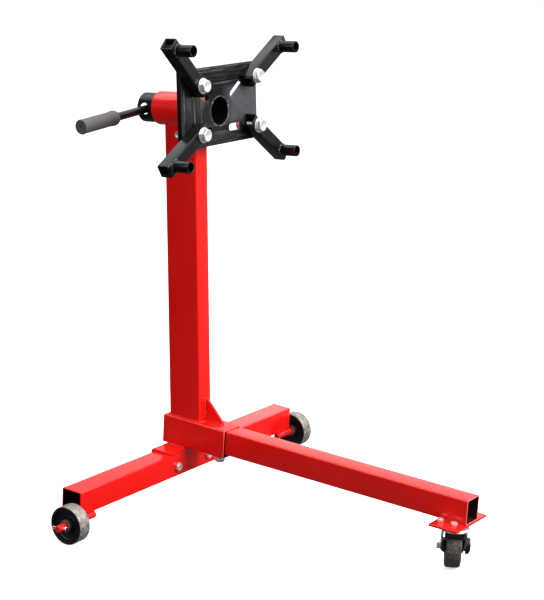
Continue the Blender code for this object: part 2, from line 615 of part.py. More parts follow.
handle_axis = handle_at @ shift(0, 0, HANDLE_RAISE) @ turn(90.0 + HANDLE_TILT, "X")
turned("handle_rod", "black_paint", [
    (0, ROD_TIP), (HANDLE_R - 0.8, ROD_TIP), (HANDLE_R, ROD_TIP - 1.0),
    (HANDLE_R, ROD_FAR + 1.2), (HANDLE_R - 1.2, ROD_FAR), (0, ROD_FAR)], handle_axis, 22)
turned("handle_grip", "grip_rubber", [
    (1.6, GRIP_END - 1.2), (2.4, GRIP_END), (GRIP_R - 1.4, GRIP_END),
    (GRIP_R - 0.2, GRIP_END - 1.0), (GRIP_R, GRIP_END - 2.6), (GRIP_R - 0.35, GRIP_END - 8.0),
    (GRIP_R - 0.35, GRIP_START + 18.0), (GRIP_R + 0.5, GRIP_START + 10.0),
    (GRIP_R + 0.7, GRIP_START + 6.0), (GRIP_R - 0.4, GRIP_START + 2.2),
    (GRIP_BORE + 2.2, GRIP_START), (GRIP_BORE, GRIP_START), (GRIP_BORE, GRIP_END - 7.6),
    (1.6, GRIP_END - 7.6)], handle_axis, 28)

# ---- arms -------------------------------------------------------------------
ARM_SIZE, ARM_WALL, ARM_CORNER = 23.0, 2.0, 2.2
ARM_TAIL, ARM_TIP, SPACER_AT = 16.5, 103.0, 86.5       # along the arm from its pivot
SPACER_R, SPACER_BORE, SPACER_L = 9.9, 7.6, 30.5
ARM_BOLT_R, ARM_BOLT_SIDES = 6.0, 18
# bolt position on the plate (across, up from plate centre), arm direction, bolt turn
ARMS = (
    ("upper_left", -76.0, 39.9, 134.6, 12.0),
    ("upper_right", 76.0, 43.4, 30.6, -9.0),
    ("lower_left", -78.0, -40.5, 209.0, 12.0),
    ("lower_right", 78.0, -40.5, -36.2, -9.0),
)
ARM_FACE = GAP * 2 + ARM_SIZE          # seat of bolt head and spacer, from the plate
PLATE_T = PLATE_FRONT - PLATE_BACK


def build_arm(tag, at):
    """Square tube and its tip spacer; local +X out of the plate, +Y along the arm."""
    arm = section_tube(f"arm_{tag}", ARM_SIZE, ARM_SIZE, ARM_WALL, ARM_CORNER,
                       -ARM_TAIL, ARM_TIP, at)
    # lay the tube along +Y, keeping the pivot as the object's origin
    arm.data.transform(shift(GAP + ARM_SIZE / 2) @ XZ_FLIPPED)
    tip = at @ shift(0, SPACER_AT) @ TO_X
    drill(arm, f"cut_arm_pivot_{tag}", ARM_BOLT_R + 0.4, -5, ARM_SIZE + 5, at @ TO_X, 16)
    drill(arm, f"cut_arm_eye_{tag}", SPACER_BORE - 0.4, -5, ARM_SIZE + 5, tip, 16)
    paint(arm, "black_paint")
    end = ARM_FACE + SPACER_L
    turned(f"arm_spacer_{tag}", "black_paint", [
        (SPACER_R - 0.6, end), (SPACER_R, end - 0.6), (SPACER_R, ARM_FACE),
        (SPACER_BORE, ARM_FACE), (SPACER_BORE, end)], tip, 26)


for tag, across, up, direction, bolt_turn in ARMS:
    pivot = head_at @ shift(PLATE_FRONT, 0, PLATE_UP) @ shift(0, across, up)
    build_arm(tag, pivot @ turn(direction, "X"))
    bolt_at = pivot @ turn(bolt_turn, "X")
    hex_bolt(f"arm_bolt_{tag}", ARM_BOLT_R, flats=20.0, head=7.6,
             shank=ARM_FACE + PLATE_T + GAP + 13.0, at=bolt_at @ shift(ARM_FACE) @ TO_X,
             flange=(12.9, 2.4), crown=0.9, sides=ARM_BOLT_SIDES)
    hex_nut(f"arm_nut_{tag}", ARM_BOLT_R + 0.32, flats=19.0, height=10.0,
            at=bolt_at @ shift(-PLATE_T - GAP) @ TO_MINUS_X,
            flange=(12.4, 2.2), crown=0.8, sides=ARM_BOLT_SIDES)

# ---- move the origin under the middle of the overall box --------------------
for ob in list(PARTS.objects) + list(CUTS.objects):
    ob.location.x -= OVERALL_CENTRE_X * MM
bpy.context.view_layer.update()
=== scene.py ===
"""A wheeled stand: a cross tube on two steel wheels, a leg running forward to a swivel caster,
and a leaning post whose turning head carries a slotted plate with four arms.

Z is up, the floor is at z = 0, +X is the front, and left (-Y) is as seen from in front.
Shapes are worked out in millimetres with x = 0 at the middle of the cross tube; piece()
writes them in metres about the row frame's origin, which lies ORIGIN_X further forward.
"""
import math
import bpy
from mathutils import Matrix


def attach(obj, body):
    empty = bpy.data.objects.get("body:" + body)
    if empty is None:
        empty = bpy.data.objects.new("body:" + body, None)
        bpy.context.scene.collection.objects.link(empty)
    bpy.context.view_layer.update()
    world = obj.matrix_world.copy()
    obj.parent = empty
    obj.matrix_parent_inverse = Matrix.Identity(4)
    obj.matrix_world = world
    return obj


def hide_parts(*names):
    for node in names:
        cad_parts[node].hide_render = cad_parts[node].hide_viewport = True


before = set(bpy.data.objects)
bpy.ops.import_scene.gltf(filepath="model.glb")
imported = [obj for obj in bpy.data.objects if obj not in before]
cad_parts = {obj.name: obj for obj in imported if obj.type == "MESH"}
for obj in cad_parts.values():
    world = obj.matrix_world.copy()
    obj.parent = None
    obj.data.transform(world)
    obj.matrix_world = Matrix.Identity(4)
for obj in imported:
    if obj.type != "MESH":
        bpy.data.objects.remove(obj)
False  # a bare value that does nothing

import bmesh
import bpy
from mathutils import Matrix, Vector

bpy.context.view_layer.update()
MM = 0.001
ORIGIN_X = 233.31
SIDES = ((-1, "left"), (1, "right"))

# ---- dimensions, mm ----------------------------------------------------------------
GAP = 0.3                                   # clearance between neighbouring parts
WALL = 2.0                                  # of every box tube
# rear wheels and axles; IN, OUT and TIP are distances from the middle plane
WHEEL_R = 32.2
WHEEL_IN, WHEEL_OUT = 311.0, 335.0
AXLE_R, AXLE_X = 6.0, 17.3
AXLE_IN, AXLE_TIP = 264.0, 355.5
COTTER_Y = 348.0
# cross tube and the bracket folded over its top and back
CROSS_W, CROSS_H, CROSS_HALF = 40.0, 42.0, 302.0
CROSS_Z0 = WHEEL_R + AXLE_R + GAP
CROSS_Z1 = CROSS_Z0 + CROSS_H
SADDLE_T, SADDLE_HALF, SADDLE_DROP = 4.4, 63.0, 42.0
SADDLE_X = -CROSS_W / 2 - GAP               # front of the bracket's hanging flange
SADDLE_Z0 = CROSS_Z1 + GAP
SADDLE_Z1 = SADDLE_Z0 + SADDLE_T
FRAME_BOLT_Y, FRAME_BOLT_Z = 44.0, 57.0
# socket and the leg that slides in it
SOCKET_X0, SOCKET_X1 = -30.5, 102.0
SOCKET_W, SOCKET_H = 47.5, 51.2
SOCKET_Z0 = SADDLE_Z1 + GAP
SOCKET_Z1 = SOCKET_Z0 + SOCKET_H
SOCKET_BOLT_X = 79.0
LEG_X0, LEG_X1 = -22.0, 580.5
LEG_W, LEG_H = 38.2, 42.7
LEG_Z1 = SOCKET_Z1 - WALL - GAP
LEG_Z0 = LEG_Z1 - LEG_H
TUBE_CORNER = 2.8
# caster
PAD_X0, PAD_X1, PAD_HALF, PAD_T = 529.3, 581.0, 50.0, 3.7
PAD_Z1 = LEG_Z0 - GAP
PAD_Z0 = PAD_Z1 - PAD_T
TOPPLATE_Z1 = PAD_Z0 - GAP
TOPPLATE_Z0 = TOPPLATE_Z1 - 3.2
SWIVEL_X = 551.5
CASTER_BOLT_DX, CASTER_BOLT_DY = 12.6, 28.0
CASTER_R, CASTER_W, CASTER_TRAIL = 36.5, 25.4, 22.0
CASTER_YAW = 32.0                           # degrees
FORK_IN, FORK_OUT = 18.0, 20.4
WHEEL_SHIFT = 0.8                           # wheel centre off the fork's middle
CROWN_Z0, CROWN_Z1 = 73.8, 76.4
# post; angles in degrees
LEAN, HEAD_TILT = 4.05, 1.1
POST_X, POST_DEPTH, POST_W = -22.5, 66.3, 33.6
HEAD_RISE = 541.3                           # head centre up the post
# head; BACK and FRONT are stations along its axis
HOUSING_R, HOUSING_BORE = 28.8, 25.7
HOUSING_BACK, HOUSING_FRONT = -19.2, 96.2
SPINDLE_R, SPINDLE_BORE = 25.35, 22.9
SPINDLE_BACK, SPINDLE_FRONT = -51.8, 105.6
HANDLE_AT, HANDLE_DROP, HANDLE_TILT = -37.3, 0.5, 4.3
HANDLE_ROD_R, HANDLE_HOLE_R, ROD_FAR = 7.0, 9.9, -44.0
GRIP_R, GRIP_A, GRIP_B = 12.8, 100.0, 191.0
PLATE_BACK, PLATE_FRONT = 97.9, 105.9
PLATE_W, PLATE_H = 211.0, 131.4
PLATE_RISE = 9.75                           # plate centre above the spindle axis
SLOT_W = 12.8
# centres (y, z) of each slot's two ends, from the plate centre
SLOTS = (
    ((-36.5, 14.0), (-83.0, 44.5)), ((36.5, 15.5), (82.5, 48.0)),
    ((-31.5, -40.5), (-86.5, -40.5)), ((31.5, -40.5), (86.5, -40.5)),
)
ARM_SIZE, ARM_TAIL, ARM_TIP = 23.0, 16.5, 103.0
ARM_BOLT_R = 6.0
SPACER_AT, SPACER_R, SPACER_BORE, SPACER_L = 86.5, 9.9, 7.6, 30.5
# name, pivot y and z from the plate centre, turn in degrees
ARMS = (
    ("upper_left", -76.0, 39.9, 134.6), ("upper_right", 76.0, 43.4, 30.6),
    ("lower_left", -78.0, -40.5, 209.0), ("lower_right", 78.0, -40.5, -36.2),
)


# ---- placing, in millimetres ---------------------------------------------------------
def shift(x=0.0, y=0.0, z=0.0):
    return Matrix.Translation(Vector((x, y, z)))


def turn(degrees, axis):
    return Matrix.Rotation(math.radians(degrees), 4, axis)


TO_X, TO_Y = turn(90.0, "Y"), turn(-90.0, "X")          # lay local Z along X or Y
# a section drawn in local x, y and extruded along local z
ALONG_X = Matrix(((0, 0, 1, 0), (1, 0, 0, 0), (0, 1, 0, 0), (0, 0, 0, 1)))     # to Y, Z, X
BACK_ALONG_Y = Matrix(((1, 0, 0, 0), (0, 0, -1, 0), (0, 1, 0, 0), (0, 0, 0, 1)))  # to X, Z, -Y
ALONG_Y = Matrix(((1, 0, 0, 0), (0, 0, 1, 0), (0, -1, 0, 0), (0, 0, 0, 1)))    # to X, -Z, Y

# post: origin at the back of its foot; head: X along the spindle axis
POST = shift(POST_X, 0, SOCKET_Z1) @ turn(-LEAN, "Y")
HEAD = POST @ shift(PLATE_FRONT, 0, HEAD_RISE) @ turn(-HEAD_TILT, "Y") @ shift(-PLATE_FRONT)
HEAD_LATHE = HEAD @ TO_X
PLATE = HEAD @ shift(0, 0, PLATE_RISE)
PLATE_FACE = HEAD @ shift(PLATE_FRONT, 0, PLATE_RISE)


# ---- materials -----------------------------------------------------------------------
class Shader:
    """The node tree of a material or world, with a method for each step used here."""

    def __init__(self, owner):
        owner.use_nodes = True
        self.owner = owner
        self.nodes = owner.node_tree.nodes
        self.links = owner.node_tree.links
        self.bsdf = self.nodes.get("Principled BSDF")
        self.coords = None

    def add(self, kind, **settings):
        node = self.nodes.new(kind)
        for key, value in settings.items():
            setattr(node, key, value)
        return node

    def put(self, socket, value):
        if isinstance(value, bpy.types.NodeSocket):
            self.links.new(value, socket)
        elif value is not None:
            socket.default_value = value

    def put_colour(self, socket, value):
        self.put(socket, (*value, 1.0) if isinstance(value, tuple) else value)

    def noise(self, scale, detail=4.0, rough=0.55, vec=None, stretch=None, distortion=0.0):
        """Noise over object coordinates, unless vec gives others."""
        if vec is None:
            if self.coords is None:
                self.coords = self.add("ShaderNodeTexCoord").outputs["Object"]
            vec = self.coords
        node = self.add("ShaderNodeTexNoise")
        if stretch:
            mapping = self.add("ShaderNodeMapping")
            mapping.inputs["Scale"].default_value = stretch
            self.put(mapping.inputs["Vector"], vec)
            vec = mapping.outputs["Vector"]
        self.put(node.inputs["Vector"], vec)
        node.inputs["Scale"].default_value = scale
        node.inputs["Detail"].default_value = detail
        node.inputs["Roughness"].default_value = rough
        node.inputs["Distortion"].default_value = distortion
        return node.outputs["Fac"]

    def ramp(self, fac, *stops):
        """Grey ramp through (position, value) stops."""
        node = self.add("ShaderNodeValToRGB")
        elements = node.color_ramp.elements
        while len(elements) < len(stops):
            elements.new(0.5)
        for element, (position, grey) in zip(elements, stops):
            element.position = position
            element.color = (grey, grey, grey, 1.0)
        self.put(node.inputs["Fac"], fac)
        return node.outputs["Color"]

    def rise(self, fac, start, end):
        return self.ramp(fac, (start, 0.0), (end, 1.0))

    def fall(self, fac, start, end):
        return self.ramp(fac, (start, 1.0), (end, 0.0))

    def math(self, operation, first, second, third=None, clamp=False):
        node = self.add("ShaderNodeMath", operation=operation)
        node.use_clamp = clamp
        for socket, value in zip(node.inputs, (first, second, third)):
            self.put(socket, value)
        return node.outputs[0]

    def scaled(self, value, by, plus):
        return self.math("MULTIPLY_ADD", value, by, plus)

    def mix(self, fac, low, high):
        node = self.add("ShaderNodeMix", data_type="RGBA")
        self.put(node.inputs["Factor"], fac)
        colours = [socket for socket in node.inputs if socket.type == "RGBA"]
        for socket, value in zip(colours, (low, high)):
            self.put_colour(socket, value)
        return next(socket for socket in node.outputs if socket.type == "RGBA")

    def bump(self, height, depth, strength, normal=None):
        """Bump; depth is in metres."""
        node = self.add("ShaderNodeBump")
        node.inputs["Distance"].default_value = depth
        node.inputs["Strength"].default_value = strength
        self.put(node.inputs["Height"], height)
        self.put(node.inputs["Normal"], normal)
        return node.outputs["Normal"]

    def finish(self, colour, rough, metal=None, normal=None, specular=None):
        inputs = self.bsdf.inputs
        self.put_colour(inputs["Base Color"], colour)
        self.put(inputs["Roughness"], rough)
        self.put(inputs["Metallic"], metal)
        self.put(inputs["Normal"], normal)
        self.put(inputs["Specular IOR Level"], specular)
        return self.owner


def new_material(name):
    return Shader(bpy.data.materials.new(name))


def mottled(name, patches, low, high, rough, bump, spread=None, grain=None, metal=None,
            specular=None):
    """Two colours in noise patches.

    patches and grain are a noise's (scale, detail, roughness); without a grain the patches
    serve as one. spread is where the high colour starts and takes over. rough is one value, or
    (swing, base) over the grain. bump is (depth, strength) of the grain.
    """
    mat = new_material(name)
    patch = mat.noise(*patches)
    fine = mat.noise(*grain) if grain else patch
    colour = mat.mix(mat.rise(patch, *spread) if spread else patch, low, high)
    if isinstance(rough, tuple):
        rough = mat.scaled(fine, *rough)
    return mat.finish(colour, rough, metal, mat.bump(fine, *bump), specular)


def inside(name, low, high):
    """Lining of a tube."""
    return mottled(name, patches=(60.0, 5.0, 0.7), spread=(0.35, 0.7), low=low, high=high,
                   grain=(500.0, 3.0, 0.6), rough=(0.2, 0.5), bump=(0.0002, 0.5), specular=0.2)


def red_paint():
    mat = new_material("red_paint")
    broad = mat.noise(scale=9.0, detail=3.0)
    fine = mat.noise(scale=420.0, detail=3.0, rough=0.6)
    peel = mat.noise(scale=260.0, detail=2.0, rough=0.5)
    nibs = mat.noise(scale=900.0, detail=1.0, rough=0.5)
    colour = mat.mix(mat.rise(broad, start=0.3, end=0.7),
                     low=(0.77, 0.0056, 0.0040), high=(0.85, 0.0078, 0.0042))
    colour = mat.mix(mat.rise(nibs, start=0.80, end=0.84), low=colour, high=(0.55, 0.012, 0.012))
    rough = mat.scaled(fine, by=0.05, plus=0.17)
    rough = mat.scaled(mat.rise(broad, start=0.35, end=0.75), by=0.08, plus=rough)
    mat.put(mat.bsdf.inputs["Coat Weight"], 0.28)
    mat.put(mat.bsdf.inputs["Coat Roughness"], 0.12)
    normal = mat.bump(peel, depth=0.00004, strength=0.22)
    return mat.finish(colour, rough, normal=normal, specular=0.38)


def worn_red():
    mat = new_material("red_worn")
    patch = mat.noise(scale=170.0, detail=5.0, rough=0.7)
    fine = mat.noise(scale=600.0, detail=3.0, rough=0.6)
    colour = mat.mix(mat.rise(patch, start=0.55, end=0.68),
                     low=(0.72, 0.010, 0.009), high=(0.16, 0.030, 0.022))
    rough = mat.scaled(fine, by=0.2, plus=0.24)
    return mat.finish(colour, rough, normal=mat.bump(patch, depth=0.0002, strength=0.6))


def black_paint():
    mat = new_material("black_paint")
    broad = mat.noise(scale=22.0)
    grain = mat.noise(scale=900.0, detail=3.0, rough=0.6)
    scuff = mat.noise(scale=60.0, detail=6.0, rough=0.7, distortion=0.6)
    colour = mat.mix(mat.rise(scuff, start=0.50, end=0.8),
                     low=(0.0042, 0.0042, 0.0046), high=(0.011, 0.011, 0.0125))
    rough = mat.scaled(broad, by=0.14, plus=0.12)
    rough = mat.scaled(grain, by=0.06, plus=rough)
    normal = mat.bump(grain, depth=0.00006, strength=0.4)
    return mat.finish(colour, rough, normal=normal, specular=0.28)


def plate_paint():
    """Satin black plate: streaks along the nearest edge, and a painted pool of light on the right.
    """
    mat = new_material("plate_black_paint")
    face = mat.add("ShaderNodeUVMap", uv_map="face").outputs["UV"]   # metres from plate centre
    split = mat.add("ShaderNodeSeparateXYZ")
    mat.put(split.inputs[0], face)
    x, y = split.outputs["X"], split.outputs["Y"]
    half_width, half_height = PLATE_W / 2 * MM, PLATE_H / 2 * MM
    from_left = mat.math("ADD", x, half_width)
    from_edge = mat.math("MINIMUM", mat.math("SUBTRACT", half_height, y),
                         mat.math("ADD", y, half_height))
    wobble = mat.noise(scale=18.0, detail=3.0, vec=face)

    def streaks(across, scale, offset):
        point = mat.add("ShaderNodeCombineXYZ")
        mat.put(point.inputs[0], mat.scaled(wobble, by=0.0035, plus=across))
        point.inputs[1].default_value = offset
        return mat.rise(mat.noise(scale, rough=0.75, vec=point.outputs[0]), start=0.49, end=0.60)

    def breaks(stretch):
        """Gaps along the streaks."""
        noise = mat.noise(scale=1.0, rough=0.7, vec=face, stretch=stretch)
        return mat.rise(noise, start=0.40, end=0.60)

    breaks_up = breaks((170.0, 26.0, 1.0))
    breaks_across = breaks((22.0, 210.0, 1.0))
    # upright streaks by the left edge meet level ones by the top and bottom on a mitre
    mitre = mat.math("SUBTRACT", mat.math("MULTIPLY", from_edge, 1.35), from_left)
    upright = mat.rise(mat.scaled(mitre, by=40.0, plus=0.5), start=0.35, end=0.65)
    left_zone = mat.math("MULTIPLY", upright, mat.fall(from_left, start=0.066, end=0.084))
    edge_zone = mat.math("MULTIPLY", mat.math("SUBTRACT", 1.0, upright),
                         mat.fall(from_edge, start=0.026, end=0.036))
    left_streaks = mat.math(
        "MULTIPLY", mat.math("MULTIPLY", streaks(from_left, scale=150.0, offset=0.0), breaks_up),
        left_zone)
    edge_streaks = mat.math(
        "MULTIPLY", mat.math("MULTIPLY", streaks(y, scale=270.0, offset=3.0), breaks_across),
        edge_zone)
    amount = mat.math("ADD", left_streaks, edge_streaks, clamp=True)
    grain = mat.noise(scale=1100.0, detail=3.0, rough=0.6)
    coarse = mat.noise(scale=330.0, detail=5.0, rough=0.7)
    # painted light: a paler field starts right of centre and fades out 36 mm above and below it
    painted_light_half = 0.036
    painted_light_band = mat.math(
        "MULTIPLY", mat.rise(mat.math("ADD", y, painted_light_half), start=0.0, end=0.010),
        mat.rise(mat.math("SUBTRACT", painted_light_half, y), start=0.0, end=0.012))
    painted_light_field = mat.math("MULTIPLY", mat.rise(x, start=0.006, end=0.040), painted_light_band)
    colour = mat.mix(amount, low=(0.0034, 0.0034, 0.0040), high=(0.125, 0.129, 0.139))
    painted_light_colour = mat.mix(mat.rise(coarse, start=0.35, end=0.7),
                   low=(0.040, 0.041, 0.047), high=(0.084, 0.087, 0.098))
    colour = mat.mix(painted_light_field, low=colour, high=painted_light_colour)
    rough = mat.scaled(amount, by=-0.06, plus=0.27)
    rough = mat.scaled(grain, by=0.10, plus=rough)
    normal = mat.bump(amount, depth=0.00012, strength=0.5)
    normal = mat.bump(grain, depth=0.00008, strength=0.5, normal=normal)
    return mat.finish(colour, rough, normal=normal, specular=0.20)


def zinc(name, darker=0.0):
    mat = new_material(name)
    patch = mat.noise(scale=160.0, rough=0.6)
    grain = mat.noise(scale=1400.0, detail=2.0, rough=0.6)
    colour = mat.mix(mat.rise(patch, start=0.3, end=0.75),
                     low=(0.95 - darker, 0.95 - darker, 0.96 - darker),
                     high=(0.80 - darker, 0.80 - darker, 0.82 - darker))
    rough = mat.scaled(patch, by=0.22, plus=0.22)
    normal = mat.bump(grain, depth=0.00008, strength=0.5)
    return mat.finish(colour, rough, metal=0.78, normal=normal)


def tread_steel():
    mat = new_material("tread_steel")
    patch = mat.noise(scale=120.0, detail=6.0, rough=0.75)
    pits = mat.noise(scale=700.0, detail=5.0, rough=0.8)
    colour = mat.mix(mat.rise(patch, start=0.36, end=0.66),
                     low=(0.10, 0.090, 0.080), high=(0.42, 0.385, 0.34))
    colour = mat.mix(mat.rise(pits, start=0.54, end=0.64), low=colour, high=(0.62, 0.60, 0.56))
    colour = mat.mix(mat.fall(pits, start=0.30, end=0.38), low=colour, high=(0.03, 0.028, 0.027))
    rough = mat.scaled(pits, by=0.3, plus=0.32)
    return mat.finish(colour, rough, 0.45, mat.bump(pits, depth=0.0004, strength=0.8))


def wheel_black():
    mat = new_material("wheel_black")
    patch = mat.noise(scale=90.0, detail=6.0, rough=0.7)
    flecks = mat.noise(scale=900.0, detail=3.0, rough=0.7)
    colour = mat.mix(mat.rise(patch, start=0.4, end=0.7),
                     low=(0.0035, 0.0055, 0.005), high=(0.016, 0.020, 0.019))
    colour = mat.mix(mat.rise(flecks, start=0.70, end=0.76), low=colour, high=(0.30, 0.30, 0.29))
    rough = mat.scaled(patch, by=0.3, plus=0.22)
    return mat.finish(colour, rough, 0.1, mat.bump(flecks, depth=0.0003, strength=0.6))


def tyre_rubber():
    mat = new_material("tyre_rubber")
    patch = mat.noise(scale=70.0, detail=5.0, rough=0.7)
    grain = mat.noise(scale=650.0, rough=0.7)
    colour = mat.mix(mat.rise(patch, start=0.35, end=0.7),
                     low=(0.030, 0.027, 0.024), high=(0.100, 0.091, 0.080))
    flecks = mat.noise(scale=380.0, detail=3.0, rough=0.6)
    colour = mat.mix(mat.rise(flecks, start=0.60, end=0.66), low=colour, high=(0.26, 0.245, 0.22))
    rough = mat.scaled(grain, by=0.25, plus=0.42)
    return mat.finish(colour, rough, normal=mat.bump(grain, depth=0.0004, strength=0.7))


def bare_weld():
    """Black with bare metal patches."""
    mat = new_material("bare_weld")
    patch = mat.noise(scale=480.0, rough=0.65)
    colour = mat.mix(mat.rise(patch, start=0.44, end=0.58),
                     low=(0.012, 0.012, 0.013), high=(0.62, 0.61, 0.60))
    metal = mat.ramp(patch, (0.44, 0.0), (0.58, 0.9))
    return mat.finish(colour, 0.3, metal, mat.bump(patch, depth=0.0003, strength=0.7))


IN_CROSS = inside("inside_cross", low=(0.004, 0.002, 0.002), high=(0.014, 0.004, 0.003))
IN_LEG = inside("inside_leg", low=(0.010, 0.0035, 0.003), high=(0.045, 0.010, 0.009))
IN_ARM = inside("inside_arm", low=(0.006, 0.006, 0.0065), high=(0.02, 0.02, 0.021))
# weld bead round the plate's bore: black, with pale patches that are painted glints
RING_WELD_PAINTED_GLINTS = mottled("ring_weld_painted_glints", patches=(230.0, 4.0, 0.7), spread=(0.53, 0.62),
                    low=(0.010, 0.010, 0.011), high=(0.30, 0.30, 0.31),
                    rough=(0.2, 0.2), bump=(0.0005, 0.8))
WASHER_DARK = mottled("washer_dark", patches=(260.0, 5.0, 0.7), spread=(0.4, 0.62),
                      low=(0.10, 0.035, 0.028), high=(0.30, 0.22, 0.20),
                      rough=0.45, bump=(0.0003, 0.6), metal=0.3)
# pinkish red for the tube ends is a painted highlight that draws their bright edge line
RED_RIM_PAINTED_HIGHLIGHT = mottled("red_rim_painted_highlight", patches=(300.0, 4.0, 0.6), spread=(0.35, 0.65),
                  low=(0.80, 0.10, 0.09), high=(0.90, 0.26, 0.24),
                  rough=0.3, bump=(0.0001, 0.4))
RED_WELD = mottled("red_weld", patches=(500.0, 4.0, 0.6),
                   low=(0.58, 0.004, 0.004), high=(0.82, 0.012, 0.010),
                   rough=(0.15, 0.30), bump=(0.0003, 0.4))
GRIP = mottled("grip_rubber", patches=(40.0, 4.0, 0.6), grain=(1200.0, 3.0, 0.6),
               low=(0.060, 0.055, 0.058), high=(0.095, 0.089, 0.092),
               rough=(0.16, 0.46), bump=(0.0002, 0.6))
PLASTIC = mottled("black_plastic", patches=(500.0, 3.0, 0.6),
                  low=(0.006, 0.006, 0.0065), high=(0.014, 0.014, 0.015),
                  rough=(0.12, 0.30), bump=(0.00015, 0.5))
BLACK_WELD = mottled("black_weld", patches=(520.0, 4.0, 0.65), spread=(0.45, 0.62),
                     low=(0.010, 0.010, 0.011), high=(0.055, 0.055, 0.055),
                     rough=(0.25, 0.20), bump=(0.0004, 0.8))
RED, RED_WORN = red_paint(), worn_red()
BLACK, PLATE_BLACK = black_paint(), plate_paint()
# the third, much darker zinc is a painted dark reflection for the fork legs' edge faces
ZINC, ZINC_DULL, ZINC_PAINTED_REFLECTION_EDGE = zinc("zinc"), zinc("zinc_dull", 0.25), zinc("zinc_painted_reflection_edge", 0.72)
TREAD, WHEEL_BLACK = tread_steel(), wheel_black()
RUBBER, BARE_WELD = tyre_rubber(), bare_weld()


# ---- mesh helpers: a shape is (points in mm, faces) ------------------------------------
def paint(material, *shapes):
    return [(*shape, material) for shape in shapes]


def piece(name, parts, body, node=None, angle=32.0):
    """Joins painted shapes into one object; edges sharper than angle stay sharp.

    A shape's paint is one material, or (materials, the index of one for each face).
    """
    verts, faces, indices, materials = [], [], [], []
    for points, part_faces, coat in parts:
        first = len(verts)
        verts += [((p[0] - ORIGIN_X) * MM, p[1] * MM, p[2] * MM) for p in points]
        faces += [[i + first for i in face] for face in part_faces]
        palette, kinds = coat if isinstance(coat, tuple) else ([coat], [0] * len(part_faces))
        for material in palette:
            if material not in materials:
                materials.append(material)
        indices += [materials.index(palette[kind]) for kind in kinds]
    mesh = bpy.data.meshes.new(name)
    mesh.from_pydata(verts, [], faces)
    for material in materials:
        mesh.materials.append(material)
    mesh.polygons.foreach_set("material_index", indices)
    face_outwards(mesh)
    for polygon in mesh.polygons:
        polygon.use_smooth = True
    mesh.set_sharp_from_angle(angle=math.radians(angle))
    ob = bpy.data.objects.new(name, mesh)
    bpy.context.scene.collection.objects.link(ob)
    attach(ob, body)
    if node:
        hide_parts(node)
    return ob


def face_outwards(mesh):
    bm = bmesh.new()
    bm.from_mesh(mesh)
    bmesh.ops.recalc_face_normals(bm, faces=bm.faces[:])
    bm.to_mesh(mesh)
    bm.free()


def moved(place, points):
    return [tuple(place @ Vector(p)) for p in points]


def fillet(points, radii, seg=3):
    """Rounds the corners of a closed outline; radii is one radius or one per point."""
    out = []
    for i, point in enumerate(points):
        radius = radii[i] if isinstance(radii, list) else radii
        if radius <= 0:
            out.append(point)
            continue
        corner, before = Vector(point), Vector(points[i - 1])
        after = Vector(points[(i + 1) % len(points)])
        len_before, len_after = (before - corner).length, (after - corner).length
        cut = min(radius, len_before * 0.48, len_after * 0.48)
        start = corner + (before - corner) * (cut / len_before)
        end = corner + (after - corner) * (cut / len_after)
        for j in range(seg + 1):
            t = j / seg
            out.append(tuple((1 - t) ** 2 * start + 2 * t * (1 - t) * corner + t * t * end))
    return out


def arc(cx, cy, r, a0, a1, n):
    angles = [math.radians(a0 + (a1 - a0) * i / n) for i in range(n + 1)]
    return [(cx + r * math.cos(a), cy + r * math.sin(a)) for a in angles]


def rounded(w, h, r, n=6):
    """Rectangle about the origin with round corners."""
    x, y = w / 2 - r, h / 2 - r
    return (arc(x, y, r, 0, 90, n) + arc(-x, y, r, 90, 180, n)
            + arc(-x, -y, r, 180, 270, n) + arc(x, -y, r, 270, 360, n))


def circle(r, z, n, x=0.0):
    return [(x + r * math.cos(math.tau * i / n), r * math.sin(math.tau * i / n), z)
            for i in range(n)]


def lathe(profile, place, n=72):
    """Turned solid about local Z from (radius, z) points.

    The profile is a loop, unless it starts on the axis; then it ends there too.
    """
    verts, rings = [], []
    for r, z in profile:
        ring = [(0.0, 0.0, z)] if r < 1e-6 else circle(r, z, n)
        rings.append(range(len(verts), len(verts) + len(ring)))
        verts += ring
    pairs = list(zip(rings, rings[1:]))
    if profile[0][0] > 0:
        pairs.append((rings[-1], rings[0]))
    faces = []
    for a, b in pairs:
        for i in range(n):
            j = (i + 1) % n
            if len(a) == 1:
                faces.append([a[0], b[i], b[j]])
            elif len(b) == 1:
                faces.append([a[i], b[0], a[j]])
            else:
                faces.append([a[i], b[i], b[j], a[j]])
    return moved(place, verts), faces


def rod(radius, z0, z1, place, n):
    return lathe([(0, z0), (radius, z0), (radius, z1), (0, z1)], place, n)


def loft(rings, closed=False, caps=True):
    """Joins equal rings of points in order; an open run gets flat ends if caps is set."""
    n, count = len(rings[0]), len(rings)
    faces = []
    for i in range(count if closed else count - 1):
        a, b = i * n, (i + 1) % count * n
        faces += [[a + j, a + (j + 1) % n, b + (j + 1) % n, b + j] for j in range(n)]
    if caps and not closed:
        faces.append(list(range(n))[::-1])
        faces.append([(count - 1) * n + j for j in range(n)])
    return [point for ring in rings for point in ring], faces


